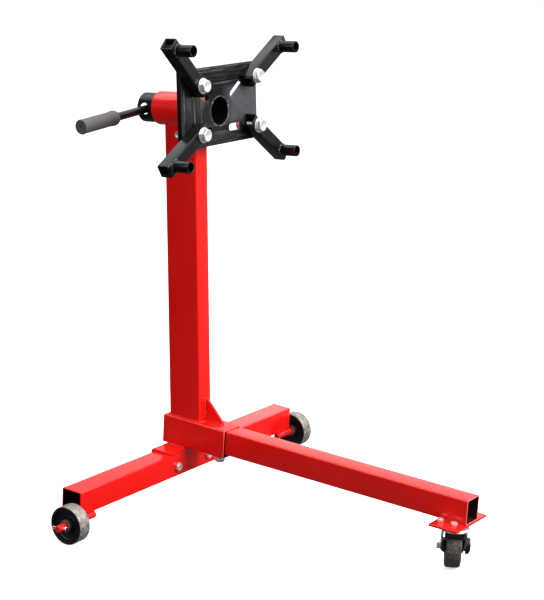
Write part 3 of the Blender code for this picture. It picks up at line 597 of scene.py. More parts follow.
def slab(loops, z0, z1, place, bevel=0.4, seg=2):
    """Flat outline with cut-outs, all edges rounded."""
    curve = bpy.data.curves.new("tmp", "CURVE")
    curve.dimensions = "2D"
    curve.fill_mode = "BOTH"
    curve.extrude = 0.5 * (z1 - z0) - bevel
    curve.bevel_depth = bevel
    curve.bevel_resolution = seg
    curve.offset = -bevel
    for points in loops:
        spline = curve.splines.new("POLY")
        spline.points.add(len(points) - 1)
        for target, (x, y) in zip(spline.points, points):
            target.co = (x, y, 0.0, 1.0)
        spline.use_cyclic_u = True
    ob = bpy.data.objects.new("tmp", curve)
    bpy.context.scene.collection.objects.link(ob)
    mesh = evaluated_mesh(ob)
    bpy.data.objects.remove(ob, do_unlink=True)
    bm = bmesh.new()
    bm.from_mesh(mesh)
    bmesh.ops.remove_doubles(bm, verts=bm.verts[:], dist=0.002)
    middle = shift(0, 0, 0.5 * (z0 + z1))
    bmesh.ops.transform(bm, verts=bm.verts[:], matrix=place @ middle)
    bmesh.ops.recalc_face_normals(bm, faces=bm.faces[:])
    shape = [tuple(v.co) for v in bm.verts], [[v.index for v in f.verts] for f in bm.faces]
    bm.free()
    bpy.data.meshes.remove(mesh)
    return shape


def evaluated_mesh(ob):
    bpy.context.view_layer.update()
    graph = bpy.context.evaluated_depsgraph_get()
    return bpy.data.meshes.new_from_object(ob.evaluated_get(graph))


def boolean(shape, *cutters):
    """The shape minus each cutter."""
    obs = []
    for points, faces in (shape, *cutters):
        mesh = bpy.data.meshes.new("tmp")
        mesh.from_pydata(points, [], faces)
        face_outwards(mesh)
        ob = bpy.data.objects.new("tmp", mesh)
        bpy.context.scene.collection.objects.link(ob)
        obs.append(ob)
    for cutter in obs[1:]:
        mod = obs[0].modifiers.new("b", "BOOLEAN")
        mod.operation = "DIFFERENCE"
        mod.solver = "EXACT"
        mod.object = cutter
    mesh = evaluated_mesh(obs[0])
    result = [tuple(v.co) for v in mesh.vertices], [list(p.vertices) for p in mesh.polygons]
    for ob in obs:
        bpy.data.objects.remove(ob, do_unlink=True)
    bpy.data.meshes.remove(mesh)
    return result


def tube(w, h, r, z0, z1, place):
    """Box tube along local Z."""
    bore = rounded(w - 2 * WALL, h - 2 * WALL, max(0.8, r - WALL * 0.6), 4)
    return slab([rounded(w, h, r), bore], z0, z1, place, 0.35)


def skin(shape, place, w, h, ends, outer, lining, rim=None):
    """Paints a tube: its outside, the lining, and the rim at both ends."""
    points, faces = shape
    inverse = place.inverted()
    kinds = []
    for face in faces:
        centre = inverse @ (sum((Vector(points[i]) for i in face), Vector()) / len(face))
        if abs(centre.x) < w / 2 - WALL + 0.1 and abs(centre.y) < h / 2 - WALL + 0.1:
            kinds.append(1)
        elif min(abs(centre.z - end) for end in ends) < 0.25:
            kinds.append(2)
        else:
            kinds.append(0)
    return [(points, faces, ([outer, lining, rim or outer], kinds))]


def red_tube(w, h, z0, z1, place, lining, rim=None):
    shape = tube(w, h, TUBE_CORNER, z0, z1, place)
    return skin(shape, place, w, h, (z0, z1), RED, lining, rim)


def hex_head(flats, height, place, z0=0.0, dish=0.5, bore=0.0, flange=True):
    """Chamfered six-sided head, or a nut if it has a bore, from z0 up to z0 + height."""
    n = 72
    face_r = flats * 0.5 * 0.955        # of the flat round face inside the chamfer
    base = z0 + (0.5 if flange else 0.0)
    top = z0 + height
    columns = []
    for i in range(n):
        angle = math.tau * i / n
        hex_r = flats * 0.5 / math.cos(angle % (math.pi / 3) - math.pi / 6)
        over = hex_r - face_r
        column = ((0.985 * hex_r, base), (hex_r, base + 0.25),
                  (hex_r, top - over * 0.62 - 0.18), (face_r + over * 0.9, top - over * 0.62))
        columns.append([(r * math.cos(angle), r * math.sin(angle), z) for r, z in column])
    rings = [circle(face_r * 0.97, z, n) for z in (z0, base)] if flange else []
    rings += zip(*columns)
    rings.append(circle(face_r, top, n))
    if bore:
        inner = ((bore + 0.5, top), (bore, top - 0.5), (bore, z0))
    else:
        inner = ((face_r * 0.72, top), (face_r * 0.55, top - dish))
    rings += [circle(r, z, n) for r, z in inner]
    verts, faces = loft(rings, closed=bool(bore), caps=False)
    if not bore:
        centre = len(verts)
        last = centre - n
        verts += [(0, 0, top - dish), (0, 0, z0)]
        faces += [[last + i, last + (i + 1) % n, centre] for i in range(n)]
        faces += [[(i + 1) % n, i, centre + 1] for i in range(n)]
    return moved(place, verts), faces


def shank(radius, tip, top, place, thread_to, pitch=1.25, n=36):
    """Bolt shank from tip up to top, ringed like a thread as far as thread_to."""
    profile = [(0.0, tip), (radius - 1.2, tip), (radius - 0.5, tip + 0.8)]
    z = tip + 1.2
    while z < thread_to:
        profile += [(radius, z), (radius - 0.55, z + pitch * 0.5)]
        z += pitch
    profile += [(radius, z + 0.2), (radius, top), (0.0, top)]
    return lathe(profile, place, n)


def hex_bolt(place, flats, head, radius, tip, thread_to, pitch=1.25, spin=0.0):
    """Zinc bolt seated on local z = 0 with its shank pointing down."""
    return paint(ZINC, hex_head(flats, head, place @ turn(spin, "Z")),
                 shank(radius, tip, 0.3, place, thread_to, pitch))


def washer(inner, outer, z0, z1, place, radii, seg, n):
    profile = [(outer, z0), (outer, z1), (inner, z1), (inner, z0)]
    return lathe(fillet(profile, radii, seg), place, n)


def rnd(seed):
    x = math.sin(seed * 12.9898) * 43758.5453
    return x - math.floor(x)


def sideways(d):
    """A unit vector square to d."""
    return d.cross(Vector((0, 0, 1)) if abs(d.z) < 0.9 else Vector((1, 0, 0))).normalized()


def oval(centre, u, v, ru, rv, n, place=Matrix()):
    angles = [math.tau * j / n for j in range(n)]
    return [tuple(place @ (centre + u * (ru * math.cos(a)) + v * (rv * math.sin(a))))
            for a in angles]


def bead(points, radius, place=Matrix(), closed=False, flat=0.75, pitch=2.6, lump=0.16, seed=1.0,
         step=0.65, n=10):
    """A rippled weld bead along a path."""
    points = [Vector(p) for p in points]
    if closed:
        points.append(points[0].copy())
    line = []
    for a, b in zip(points, points[1:]):
        steps = max(1, int((b - a).length / step))
        line += [a.lerp(b, i / steps) for i in range(steps)]
    if not closed:
        line.append(points[-1])
    count = len(line)
    rings = []
    along = 0.0
    for i, p in enumerate(line):
        after = line[(i + 1) % count] if closed or i < count - 1 else p + (p - line[i - 1])
        before = line[i - 1] if closed or i > 0 else p - (after - p)
        d = (after - before).normalized()
        along += (p - before).length
        u = sideways(d)
        v = d.cross(u).normalized()
        swell = (1.0 + lump * math.sin(math.tau * along / pitch)
                 + 0.5 * lump * math.sin(math.tau * along / (pitch * 3.7) + seed * 5)
                 + lump * 0.7 * (rnd(seed + int(along / pitch) * 1.7) - 0.5))
        taper = 1.0
        if not closed:
            from_end = min(i, count - 1 - i)
            taper = math.sqrt(max(0.03, 1 - (1 - min(1.0, from_end / 3.0)) ** 2))
        r = radius * swell * taper
        rings.append(oval(p, u, v, r, r * flat, n, place))
    return loft(rings, closed)


def dot(point, radius, normal):
    """Small domed spatter drop on a surface."""
    n = 10
    height = 0.6 * radius
    point, normal = Vector(point), Vector(normal).normalized()
    u = sideways(normal)
    v = normal.cross(u)
    # share of the radius, share of the height
    levels = ((1.0, -0.2), (1.0, 0.1), (0.8, 0.6), (0.45, 0.92))
    verts, faces = loft([oval(point + normal * (height * z), u, v, radius * k, radius * k, n)
                         for k, z in levels], caps=False)
    apex = len(verts)
    verts.append(tuple(point + normal * height))
    faces += [[apex - n + j, apex - n + (j + 1) % n, apex] for j in range(n)]
    faces.append(list(range(n))[::-1])
    return verts, faces


def wire(points, radius, place, n=14):
    """Round wire with rounded ends along a smooth curve through the points."""
    points = [Vector(p) for p in points]
    last = len(points) - 1
    line = []
    for i in range(last):
        p0, p1, p2, p3 = (points[min(last, max(0, i + k))] for k in (-1, 0, 1, 2))
        for j in range(6):
            t = j / 6
            line.append(0.5 * ((2 * p1) + (p2 - p0) * t + (2 * p0 - 5 * p1 + 4 * p2 - p3) * t * t
                               + (3 * p1 - p0 - 3 * p2 + p3) * t ** 3))
    line.append(points[-1])
    last = len(line) - 1
    rings = []
    u = None
    for i, p in enumerate(line):
        d = (line[min(i + 1, last)] - line[max(i - 1, 0)]).normalized()
        if u is None:
            u = sideways(d)
        u = (u - d * u.dot(d)).normalized()
        r = radius * {0: 0.55, 1: 0.9}.get(min(i, last - i), 1.0)
        rings.append(oval(p, u, d.cross(u), r, r, n, place))
    return loft(rings)


# ---- base ----------------------------------------------------------------------------
place = shift(0, 0, 0.5 * (CROSS_Z0 + CROSS_Z1)) @ BACK_ALONG_Y
piece("base_cross_tube", red_tube(CROSS_W, CROSS_H, -CROSS_HALF, CROSS_HALF, place, IN_CROSS),
      "stand", "cross_tube")

saddle = [(CROSS_W / 2, SADDLE_Z1), (SADDLE_X - SADDLE_T, SADDLE_Z1),
          (SADDLE_X - SADDLE_T, SADDLE_DROP), (SADDLE_X, SADDLE_DROP),
          (SADDLE_X, SADDLE_Z0), (CROSS_W / 2, SADDLE_Z0)]
saddle = fillet(saddle, [0, 6.0, 0, 0, 1.6, 0], 6)
piece("base_saddle_bracket",
      paint(RED, slab([saddle], -SADDLE_HALF, SADDLE_HALF, BACK_ALONG_Y, 0.45)),
      "stand", "saddle_bracket")

for side, tag in SIDES:
    place = shift(CROSS_W / 2 + GAP, side * FRAME_BOLT_Y, FRAME_BOLT_Z) @ TO_X
    bolt = hex_bolt(place, flats=13.0, head=5.6, radius=4.0, tip=-53.5, thread_to=-30.0,
                    spin=14 * side + 5)
    piece(f"frame_hex_bolt_{tag}", bolt, "stand", f"frame_bolt_{tag}")
    place = shift(SADDLE_X - SADDLE_T - GAP, side * FRAME_BOLT_Y, FRAME_BOLT_Z) @ turn(-90, "Y")
    piece(f"frame_hex_nut_{tag}", paint(ZINC, hex_head(13.0, 6.5, place @ turn(9, "Z"), bore=4.2)),
          "stand", f"frame_nut_{tag}")

place = shift(0, 0, 0.5 * (SOCKET_Z0 + SOCKET_Z1)) @ ALONG_X
piece("base_leg_socket",
      red_tube(SOCKET_W, SOCKET_H, SOCKET_X0, SOCKET_X1, place, IN_LEG, RED_RIM_PAINTED_HIGHLIGHT),
      "stand", "leg_socket")

# nut under the socket, and a screw through it up to the leg
NUT_Z = SOCKET_Z0 - GAP
SCREW_Z = NUT_Z - 9.0
place = shift(SOCKET_BOLT_X, 0, NUT_Z) @ turn(180, "X")
piece("socket_weld_nut", paint(ZINC_DULL, hex_head(15.0, 7.0, place, bore=4.2, flange=False)),
      "stand", "socket_nut")
place = shift(SOCKET_BOLT_X, 0, SCREW_Z) @ turn(180, "X")
piece("socket_clamp_screw",
      hex_bolt(place, flats=15.0, head=6.2, radius=4.0, tip=-(LEG_Z0 - GAP - SCREW_Z),
               thread_to=-1.0, spin=20),
      "socket_screw", "socket_screw")

place = shift(0, 0, 0.5 * (LEG_Z0 + LEG_Z1)) @ ALONG_X
piece("front_leg_tube", red_tube(LEG_W, LEG_H, LEG_X0, LEG_X1, place, IN_LEG, RED_RIM_PAINTED_HIGHLIGHT),
      "leg", "front_leg")

# ---- rear wheels -----------------------------------------------------------------------
AXLE_BORE = AXLE_R + 0.35
# wheel section (radius, distance from the middle plane), then the rounding of each corner
WHEEL_SECTION = [
    (WHEEL_R, WHEEL_OUT), (WHEEL_R, WHEEL_IN), (WHEEL_R - 4.4, WHEEL_IN),
    (WHEEL_R - 5.6, WHEEL_IN + 7.4), (13.6, WHEEL_IN + 9.6), (11.2, WHEEL_IN + 1.0),
    (9.9, WHEEL_IN), (AXLE_BORE, WHEEL_IN), (AXLE_BORE, WHEEL_OUT), (9.9, WHEEL_OUT),
    (11.2, WHEEL_OUT - 1.0), (13.6, WHEEL_OUT - 9.6), (WHEEL_R - 5.6, WHEEL_OUT - 7.4),
    (WHEEL_R - 4.4, WHEEL_OUT),
]
WHEEL_ROUNDING = [1.6, 1.6, 0.7, 2.2, 1.8, 0.8, 0.4, 0.3, 0.3, 0.4, 0.8, 1.8, 2.2, 0.7]
AXLE_SECTION = [(0, AXLE_TIP), (AXLE_R - 1.0, AXLE_TIP), (AXLE_R, AXLE_TIP - 1.2),
                (AXLE_R, AXLE_IN + 0.9), (AXLE_R - 0.9, AXLE_IN), (0, AXLE_IN)]
# split pin paths and wire radius: the eye, then the two legs
PIN_WIRES = (
    ([(-9.2, 0.9, 0.3), (-11.5, 1.6, 0.6), (-14.6, 1.7, 0.6), (-16.6, 0.0, 0.6),
      (-14.6, -1.7, 0.6), (-11.5, -1.6, 0.6), (-9.2, -0.9, 0.3)], 0.8),
    ([(-9.2, 0.7, 0.3), (-3.0, 0.75, 0.0), (8.6, 0.75, 0.0), (10.4, 0.9, -1.4),
      (11.2, 1.2, -4.0)], 0.72),
    ([(-9.2, -0.7, 0.3), (-3.0, -0.75, 0.0), (8.0, -0.75, 0.0), (10.6, -1.2, 0.4),
      (12.6, -1.9, 1.4)], 0.72),
)

for side, tag in SIDES:
    axle = shift(AXLE_X, 0, WHEEL_R) @ (TO_Y if side > 0 else turn(90, "X"))
    piece(f"rear_axle_{tag}", paint(RED_WORN, lathe(AXLE_SECTION, axle, 48)),
          "stand", f"axle_rod_{tag}")
    verts, faces = lathe(fillet(WHEEL_SECTION, WHEEL_ROUNDING, 4), Matrix(), 120)
    kinds = []
    for face in faces:
        mean_r = sum(math.hypot(verts[i][0], verts[i][1]) for i in face) / len(face)
        kinds.append(0 if mean_r > WHEEL_R - 1.15 else 1)
    piece(f"rear_steel_wheel_{tag}", [(moved(axle, verts), faces, ([TREAD, WHEEL_BLACK], kinds))],
          f"rear_wheel_{tag}", f"rear_wheel_{tag}")
    for where, z in (("inner", WHEEL_IN - GAP - 2.0), ("outer", WHEEL_OUT + GAP)):
        piece(f"axle_washer_{where}_{tag}",
              paint(WASHER_DARK, washer(AXLE_BORE, 10.0, z, z + 2.0, axle, 0.4, 2, 64)),
              "stand", f"washer_{where}_{tag}")
    pin = axle @ shift(0, 0, COTTER_Y) @ turn(-10.0 * side, "Z")
    piece(f"split_pin_{tag}", paint(ZINC, *(wire(path, r, pin) for path, r in PIN_WIRES)),
          "stand", f"cotter_pin_{tag}")
    beads = []
    for edge in (-1, 1):
        x, z = AXLE_X + edge * 4.6, CROSS_Z0 - 1.2
        beads.append(bead([(x, side * (AXLE_IN + 3), z), (x, side * 300.0, z)], 2.2,
                          seed=3 + edge + side))
    piece(f"axle_weld_{tag}", paint(RED_WELD, *beads), "stand")

# ---- caster mount ----------------------------------------------------------------------
pad = slab([rounded(PAD_X1 - PAD_X0, 2 * PAD_HALF, 1.4, 3)], PAD_Z0, PAD_Z1,
           shift(0.5 * (PAD_X0 + PAD_X1)), 0.5)
piece("caster_pad", paint(RED, pad), "leg", "caster_mount_plate")
top_plate = slab([rounded(44.0, 74.0, 5.0, 6)], TOPPLATE_Z0, TOPPLATE_Z1, shift(SWIVEL_X), 0.4)
piece("caster_zinc_plate", paint(ZINC, top_plate), "leg", "caster_top_plate")
for number, (dx, dy) in enumerate(((-1, -1), (-1, 1), (1, -1), (1, 1)), 1):
    place = shift(SWIVEL_X + dx * CASTER_BOLT_DX, dy * CASTER_BOLT_DY, PAD_Z1 + GAP)
    bolt = hex_bolt(place, flats=10.6, head=4.8, radius=3.0,
                    tip=-(PAD_Z1 + GAP - TOPPLATE_Z0 + 3.0), thread_to=-6.0, pitch=1.0,
                    spin=13 * number)
    piece(f"caster_hex_bolt_{number}", bolt, "leg", f"caster_bolt_{number}")
rivet = [(0, TOPPLATE_Z1), (6.05, TOPPLATE_Z1), (6.05, CROWN_Z0 - GAP), (8.8, CROWN_Z0 - GAP),
         (8.2, CROWN_Z0 - 2.0), (6.0, CROWN_Z0 - 2.8), (0, CROWN_Z0 - 2.8)]
piece("caster_rivet", paint(ZINC, lathe(rivet, shift(SWIVEL_X), 48)),
      "leg", "caster_kingpin")

# ---- caster fork: crown and two stamped legs; the swivel frame's Y points to the trail ----
swivel = shift(SWIVEL_X) @ turn(CASTER_YAW, "Z")
RACE_Z1 = TOPPLATE_Z0 - GAP
crown = [(16.0, RACE_Z1), (21.0, RACE_Z1), (22.6, RACE_Z1 - 1.6), (22.6, CROWN_Z1 + 1.0),
         (24.8, CROWN_Z1), (24.8, CROWN_Z0), (6.4, CROWN_Z0), (6.4, CROWN_Z1),
         (10.0, CROWN_Z1 + 1.2), (12.5, RACE_Z1)]
crown = fillet(crown, [0.4, 1.2, 1.2, 1.4, 1.1, 1.1, 0.3, 0.3, 0.6, 0.6], 3)
fork_leg = ([(-14.0, CROWN_Z0 + 1.6), (-15.0, CROWN_Z0 - 4.0)]
            + arc(CASTER_TRAIL, CASTER_R, 9.0, 205, 360, 18)
            + [(CASTER_TRAIL - 4.5, CROWN_Z0 - 8.0), (CASTER_TRAIL - 6.5, CROWN_Z0 + 1.6)])
parts = paint(ZINC, lathe(crown, swivel, 96))
for side in (-1, 1):
    near, far = sorted((side * FORK_IN, side * FORK_OUT))
    verts, faces = slab([fork_leg], near, far, swivel @ ALONG_X, 0.5)
    local = moved((swivel @ ALONG_X).inverted(), verts)
    # the legs' edge faces below the crown take the darker zinc, a painted dark reflection
    kinds = []
    for face in faces:
        depths = [local[i][2] for i in face]
        flat = max(depths) - min(depths) < 0.3
        kinds.append(0 if flat or local[face[0]][1] > 62.0 else 1)
    parts.append((verts, faces, ([ZINC, ZINC_PAINTED_REFLECTION_EDGE], kinds)))
    # rolled shoulder between crown and leg
    x = side * (FORK_OUT - 0.9)
    parts += paint(ZINC, bead([(x, -12.0, CROWN_Z0 + 1.1), (x, 12.0, CROWN_Z0 + 1.1)], 1.35,
                              swivel, lump=0.0, flat=1.0))
piece("caster_fork_stamped", parts, "caster", "caster_fork")

# ---- caster wheel ----------------------------------------------------------------------
axle = swivel @ shift(0, CASTER_TRAIL, CASTER_R)
axle_lathe = axle @ TO_X
wheel_lathe = axle @ shift(WHEEL_SHIFT) @ TO_X
HALF_W = CASTER_W / 2
tyre = [(CASTER_R - 0.7, HALF_W), (CASTER_R, 3.5), (CASTER_R, -3.5), (CASTER_R - 0.7, -HALF_W),
        (27.0, -HALF_W), (26.2, -HALF_W + 1.6), (26.2, HALF_W - 1.6), (27.0, HALF_W)]
tyre = fillet(tyre, [6.4, 3.0, 3.0, 6.4, 0.6, 0.4, 0.4, 0.6], 7)
piece("caster_solid_tyre", paint(RUBBER, lathe(tyre, wheel_lathe, 120)),
      "caster_wheel", "caster_tyre")
HUB_END = HALF_W + 0.6
hub = [(25.9, HALF_W - 1.2), (25.9, -HALF_W + 1.2), (22.8, -HALF_W + 1.2), (21.5, -HALF_W + 5.5),
       (11.5, -HALF_W + 6.5), (9.5, -HUB_END), (4.4, -HUB_END), (4.4, HUB_END), (9.5, HUB_END),
       (11.5, HALF_W - 6.5), (21.5, HALF_W - 5.5), (22.8, HALF_W - 1.2)]
piece("caster_wheel_hub", paint(PLASTIC, lathe(fillet(hub, 0.5, 2), wheel_lathe, 96)),
      "caster_wheel", "caster_hub")
for side, tag in SIDES:
    z0 = HUB_END + GAP
    z1 = FORK_IN - side * WHEEL_SHIFT - GAP
    guard = fillet([(11.6, z1), (12.6, z0), (4.4, z0), (4.4, z1)], 0.3, 2)
    place = wheel_lathe if side > 0 else wheel_lathe @ turn(180, "X")
    piece(f"caster_guard_{tag}", paint(PLASTIC, lathe(guard, place, 64)),
          "caster", f"thread_guard_{tag}")
place = axle_lathe @ shift(0, 0, -FORK_OUT - GAP) @ turn(180, "X")
piece("caster_axle_hex_bolt",
      hex_bolt(place, flats=13.0, head=5.5, radius=4.0, tip=-(FORK_OUT * 2 + GAP * 2 + 9.0),
               thread_to=-FORK_OUT * 2, spin=10),
      "caster", "caster_axle_bolt")
place = axle_lathe @ shift(0, 0, FORK_OUT + GAP)
piece("caster_axle_hex_nut", paint(ZINC, hex_head(13.0, 6.0, place, bore=4.2)),
      "caster", "caster_axle_nut")

# ---- caster brake ----------------------------------------------------------------------
# leaf-shaped lever round a hole, domed outwards and drawn in to its tip
LEVER_HOLE_R = 8.3
leaf = (arc(0, 3.4, 11.0, 12, 168, 20) + [(-10.3, -3.0), (-8.8, -7.4), (-6.4, -11.4)]
        + arc(0, -12.0, 3.1, 205, 335, 8) + [(6.4, -11.4), (8.8, -7.4), (10.3, -3.0)])
# share of the way from hole to rim, height, 1 where the height dips towards the tip
LEVER_LEVELS = ((0.0, 0.0, 0), (0.97, 0.0, 0), (1.0, 0.5, 0), (1.0, 4.4, 1),
                (0.93, 6.2, 1), (0.70, 7.6, 1), (0.30, 8.0, 1), (0.0, 7.8, 1))
rings = []
for share, height, dips in LEVER_LEVELS:
    ring = []
    for x, y in leaf:
        angle = math.atan2(y, x)
        hole_x, hole_y = LEVER_HOLE_R * math.cos(angle), LEVER_HOLE_R * math.sin(angle)
        x, y = hole_x + (x - hole_x) * share, hole_y + (y - hole_y) * share
        dip = 1.8 * max(0.0, min(1.0, (-y - 2.0) / 13.0))
        ring.append((x, y, height - dips * dip))
    rings.append(ring)
verts, faces = loft(rings, closed=True)
place = axle @ shift(FORK_OUT + GAP) @ ALONG_X @ turn(8.0, "Z")
piece("caster_brake_lever", [(moved(place, verts), faces, PLASTIC)],
      "brake", "brake_lever", angle=40)

# the shoe's underside follows the tyre at 0.8 mm
SHOE_STATIONS = (4.0, 2.75, 1.5, 0.25, -1.0, -2.25, -3.5, -4.75, -6.0, -7.0, -8.0)
shoe = [(5.0, 70.7)]
shoe += [(y, CASTER_R + math.sqrt((CASTER_R + 0.8) ** 2 - (CASTER_TRAIL - y) ** 2))
         for y in SHOE_STATIONS]
shoe += [(-9.4, 59.6), (-12.0, 69.4), (-11.2, 70.7)]
piece("caster_brake_shoe", paint(PLASTIC, slab([shoe], -15.5, 15.5, swivel @ ALONG_X, 0.6, 3)),
      "caster", "brake_shoe")

# ---- pad welds and spatter ---------------------------------------------------------------
shapes = []
for side in (-1, 1):
    y, z = side * (LEG_W / 2 + 0.5), PAD_Z1 + 0.5
    shapes.append(bead([(PAD_X0 + 3, y, z), (LEG_X1 - 3, y, z)], 1.7, seed=7 + side))
# x, z, radius on the leg's left wall
for x, z, r in ((536.5, 101.5, 1.0), (541.0, 99.5, 0.7), (547.5, 103.5, 1.2), (559.0, 98.4, 0.7),
                (566.0, 101.4, 0.8), (573.0, 99.6, 1.2)):
    shapes.append(dot((x, -LEG_W / 2, z), r, (0, -1, 0)))
# x, y, radius on top of the pad
for x, y, r in ((546, -36, 0.9), (556, -41, 1.0), (571, -33, 0.9), (574, -24, 0.8),
                (563, -38, 0.6)):
    shapes.append(dot((x, y, PAD_Z1), r, (0, 0, 1)))
piece("pad_weld", paint(RED_WELD, *shapes), "leg")

# ---- post ----------------------------------------------------------------------------
post = tube(POST_DEPTH, POST_W, 3.0, -10.0, HEAD_RISE - 18.0, POST @ shift(POST_DEPTH / 2))
foot_cut = slab([rounded(160, 90, 1, 1)], SOCKET_Z1 - 40, SOCKET_Z1 + GAP, shift(10), 0.01, 1)
housing_cut = rod(HOUSING_R + GAP, -60, 140, HEAD_LATHE, 96)
piece("post_box_tube", paint(RED, boolean(post, foot_cut, housing_cut)),
      "stand", "upright_post", angle=30)


def post_front(z):
    """x of the post's front face at a height."""
    lean = math.radians(LEAN)
    return POST_X + POST_DEPTH / math.cos(lean) - math.tan(lean) * (z - SOCKET_Z1)


GUSSET_Y = -2.0
GUSSET_Z0, GUSSET_Z1 = SOCKET_Z1 + GAP + 0.05, SOCKET_Z1 + 39.5
gusset = [(post_front(GUSSET_Z0) + 0.35, GUSSET_Z0), (81.5, GUSSET_Z0), (81.5, GUSSET_Z0 + 4.0),
          (post_front(GUSSET_Z1) + 6.0, GUSSET_Z1), (post_front(GUSSET_Z1) + 0.35, GUSSET_Z1)]
piece("post_gusset_plate",
      paint(RED, slab([fillet(gusset, 0.8, 3)], GUSSET_Y - 2.5, GUSSET_Y + 2.5, BACK_ALONG_Y, 0.5)),
      "stand", "post_gusset")

# round the post's foot; then for each side along and up the gusset, under the head
# housing, and beneath the socket; last round the socket nut
foot_z = SOCKET_Z1 + 0.6
back, front, half = POST_X - 0.9, post_front(foot_z) + 0.9, POST_W / 2 + 0.9
foot = fillet([(back, -half), (front, -half), (front, half), (back, half)], 3.0, 4)
shapes = [bead([(*p, foot_z) for p in foot], 1.9, closed=True, seed=2.2)]
housing_z = HEAD_RISE - math.sqrt(HOUSING_R ** 2 - (POST_W / 2) ** 2)
for side in (-1, 1):
    y = -GUSSET_Y + side * 2.9
    low, high = SOCKET_Z1 + 3, GUSSET_Z1 + 1
    shapes.append(bead([(front + 2, y, SOCKET_Z1 + 0.5), (80.5, y, SOCKET_Z1 + 0.5)], 1.9,
                       seed=5 + side, lump=0.3, pitch=4.4))
    shapes.append(bead([(post_front(low) + 0.4, y, low), (post_front(high) + 0.4, y, high)], 1.9,
                       seed=8 + side, flat=1.0, lump=0.3, pitch=4.4))
    y = side * (POST_W / 2 + 0.4)
    shapes.append(bead([(2.5, y, housing_z - 1.6), (POST_DEPTH - 2.0, y, housing_z - 1.0)], 1.5,
                       POST, seed=11 + side))
    y, z = side * (SOCKET_W / 2 + 0.4), SADDLE_Z1 + 0.5
    shapes.append(bead([(-19.0, y, z), (19.0, y, z)], 2.6, lump=0.34, pitch=5.2, seed=14 + side))
shapes.append(bead(circle(8.6, SOCKET_Z0 - 0.9, 24, SOCKET_BOLT_X), 1.2, closed=True, seed=9))
# x, z, radius of spatter on the post's left wall
for x, z, r in ((31.0, 146.0, 0.9), (35.5, 152.0, 0.6), (9.0, 143.5, 0.7), (-13.0, 144.5, 0.8)):
    shapes.append(dot((x, -POST_W / 2, z), r, (0, -1, 0)))
piece("stand_welds", paint(RED_WELD, *shapes), "stand")

place = POST @ shift(31.3, -POST_W / 2 - GAP, 498.0) @ turn(90, "X")
piece("post_hex_screw",
      hex_bolt(place, flats=11.0, head=4.4, radius=3.0, tip=-(POST_W + GAP + 3.0),
               thread_to=-POST_W + 6, pitch=1.0),
      "stand", "post_screw")


def pipe(outer, inner, back, front, edge, n):
    """Round tube along the head's axis."""
    section = [(outer, front), (outer, back), (inner, back), (inner, front)]
    return lathe(fillet(section, edge, 3), HEAD_LATHE, n)


piece("head_housing_tube",
      paint(RED, pipe(HOUSING_R, HOUSING_BORE, HOUSING_BACK, HOUSING_FRONT, 0.7, 144)),
      "stand", "head_housing")
# seam along the housing's left wall, 13 degrees up
angle = math.radians(13)
seam_y, seam_z = -(HOUSING_R - 0.05) * math.cos(angle), (HOUSING_R - 0.05) * math.sin(angle)
seam = bead([(HOUSING_BACK + 1.0, seam_y, seam_z), (HOUSING_FRONT - 1.0, seam_y, seam_z)], 0.42,
            HEAD, lump=0.1, pitch=9.0, flat=0.8, step=1.5, n=8)
piece("head_housing_seam", paint(RED_WELD, seam), "stand")

# ---- turning head ----------------------------------------------------------------------
spindle = pipe(SPINDLE_R, SPINDLE_BORE, SPINDLE_BACK, SPINDLE_FRONT, 0.6, 120)
handle = HEAD @ shift(HANDLE_AT, 0, 0)
handle_hole = rod(HANDLE_HOLE_R, -60, 60, handle @ TO_Y, 64)
piece("head_spindle_tube", paint(BLACK, boolean(spindle, handle_hole)),
      "head", "head_spindle", angle=28)

loops = [rounded(PLATE_W, PLATE_H, 2.0, 4), arc(0, -PLATE_RISE, SPINDLE_R + GAP, 0, 357, 119)]
for (start_y, start_z), (end_y, end_z) in SLOTS:
    angle = math.atan2(end_z - start_z, end_y - start_y)
    length = math.hypot(end_y - start_y, end_z - start_z)
    slot = arc(0, 0, SLOT_W / 2, 90, 270, 16) + arc(length, 0, SLOT_W / 2, -90, 90, 16)
    cos, sin = math.cos(angle), math.sin(angle)
    loops.append([(start_y + x * cos - y * sin, start_z + x * sin + y * cos) for x, y in slot])
plate = piece("head_mount_plate",
              paint(PLATE_BLACK, slab(loops, PLATE_BACK, PLATE_FRONT, PLATE @ ALONG_X, 0.5)),
              "head", "mount_plate")
# the plate's paint reads y and z from its centre, in metres
inverse = PLATE.inverted()
face_map = plate.data.uv_layers.new(name="face")
for loop in plate.data.loops:
    point = Vector(plate.data.vertices[loop.vertex_index].co) / MM + Vector((ORIGIN_X, 0, 0))
    point = inverse @ point
    face_map.data[loop.index].uv = (point.y * MM, point.z * MM)

# rings round the spindle in front of and behind the plate:
# station, ring radius, bead radius, seed, paint
parts = []
for station, ring_r, bead_r, seed, coat in (
        (PLATE_FRONT - 0.95, SPINDLE_R - 0.2, 1.35, 4.0, RING_WELD_PAINTED_GLINTS),
        (PLATE_BACK - 0.9, SPINDLE_R + 1.3, 1.9, 6.0, BLACK_WELD)):
    ring = [(station, y, z) for y, z, _ in circle(ring_r, 0.0, 60)]
    parts += paint(coat, bead(ring, bead_r, HEAD, closed=True, lump=0.22, pitch=3.6, seed=seed,
                              flat=0.8))
# spatter on the plate: y and z from its centre, radius
for y, z, r in ((22.5, 4.0, 0.9), (25.0, -22.0, 0.7), (-31.0, 2.0, 0.5), (8.0, 37.0, 0.5),
                (36.0, -9.0, 0.5)):
    point = HEAD @ Vector((PLATE_FRONT, y, PLATE_RISE + z))
    parts += paint(BARE_WELD, dot(point, r, HEAD.to_3x3() @ Vector((1, 0, 0))))
piece("plate_welds", parts, "head")

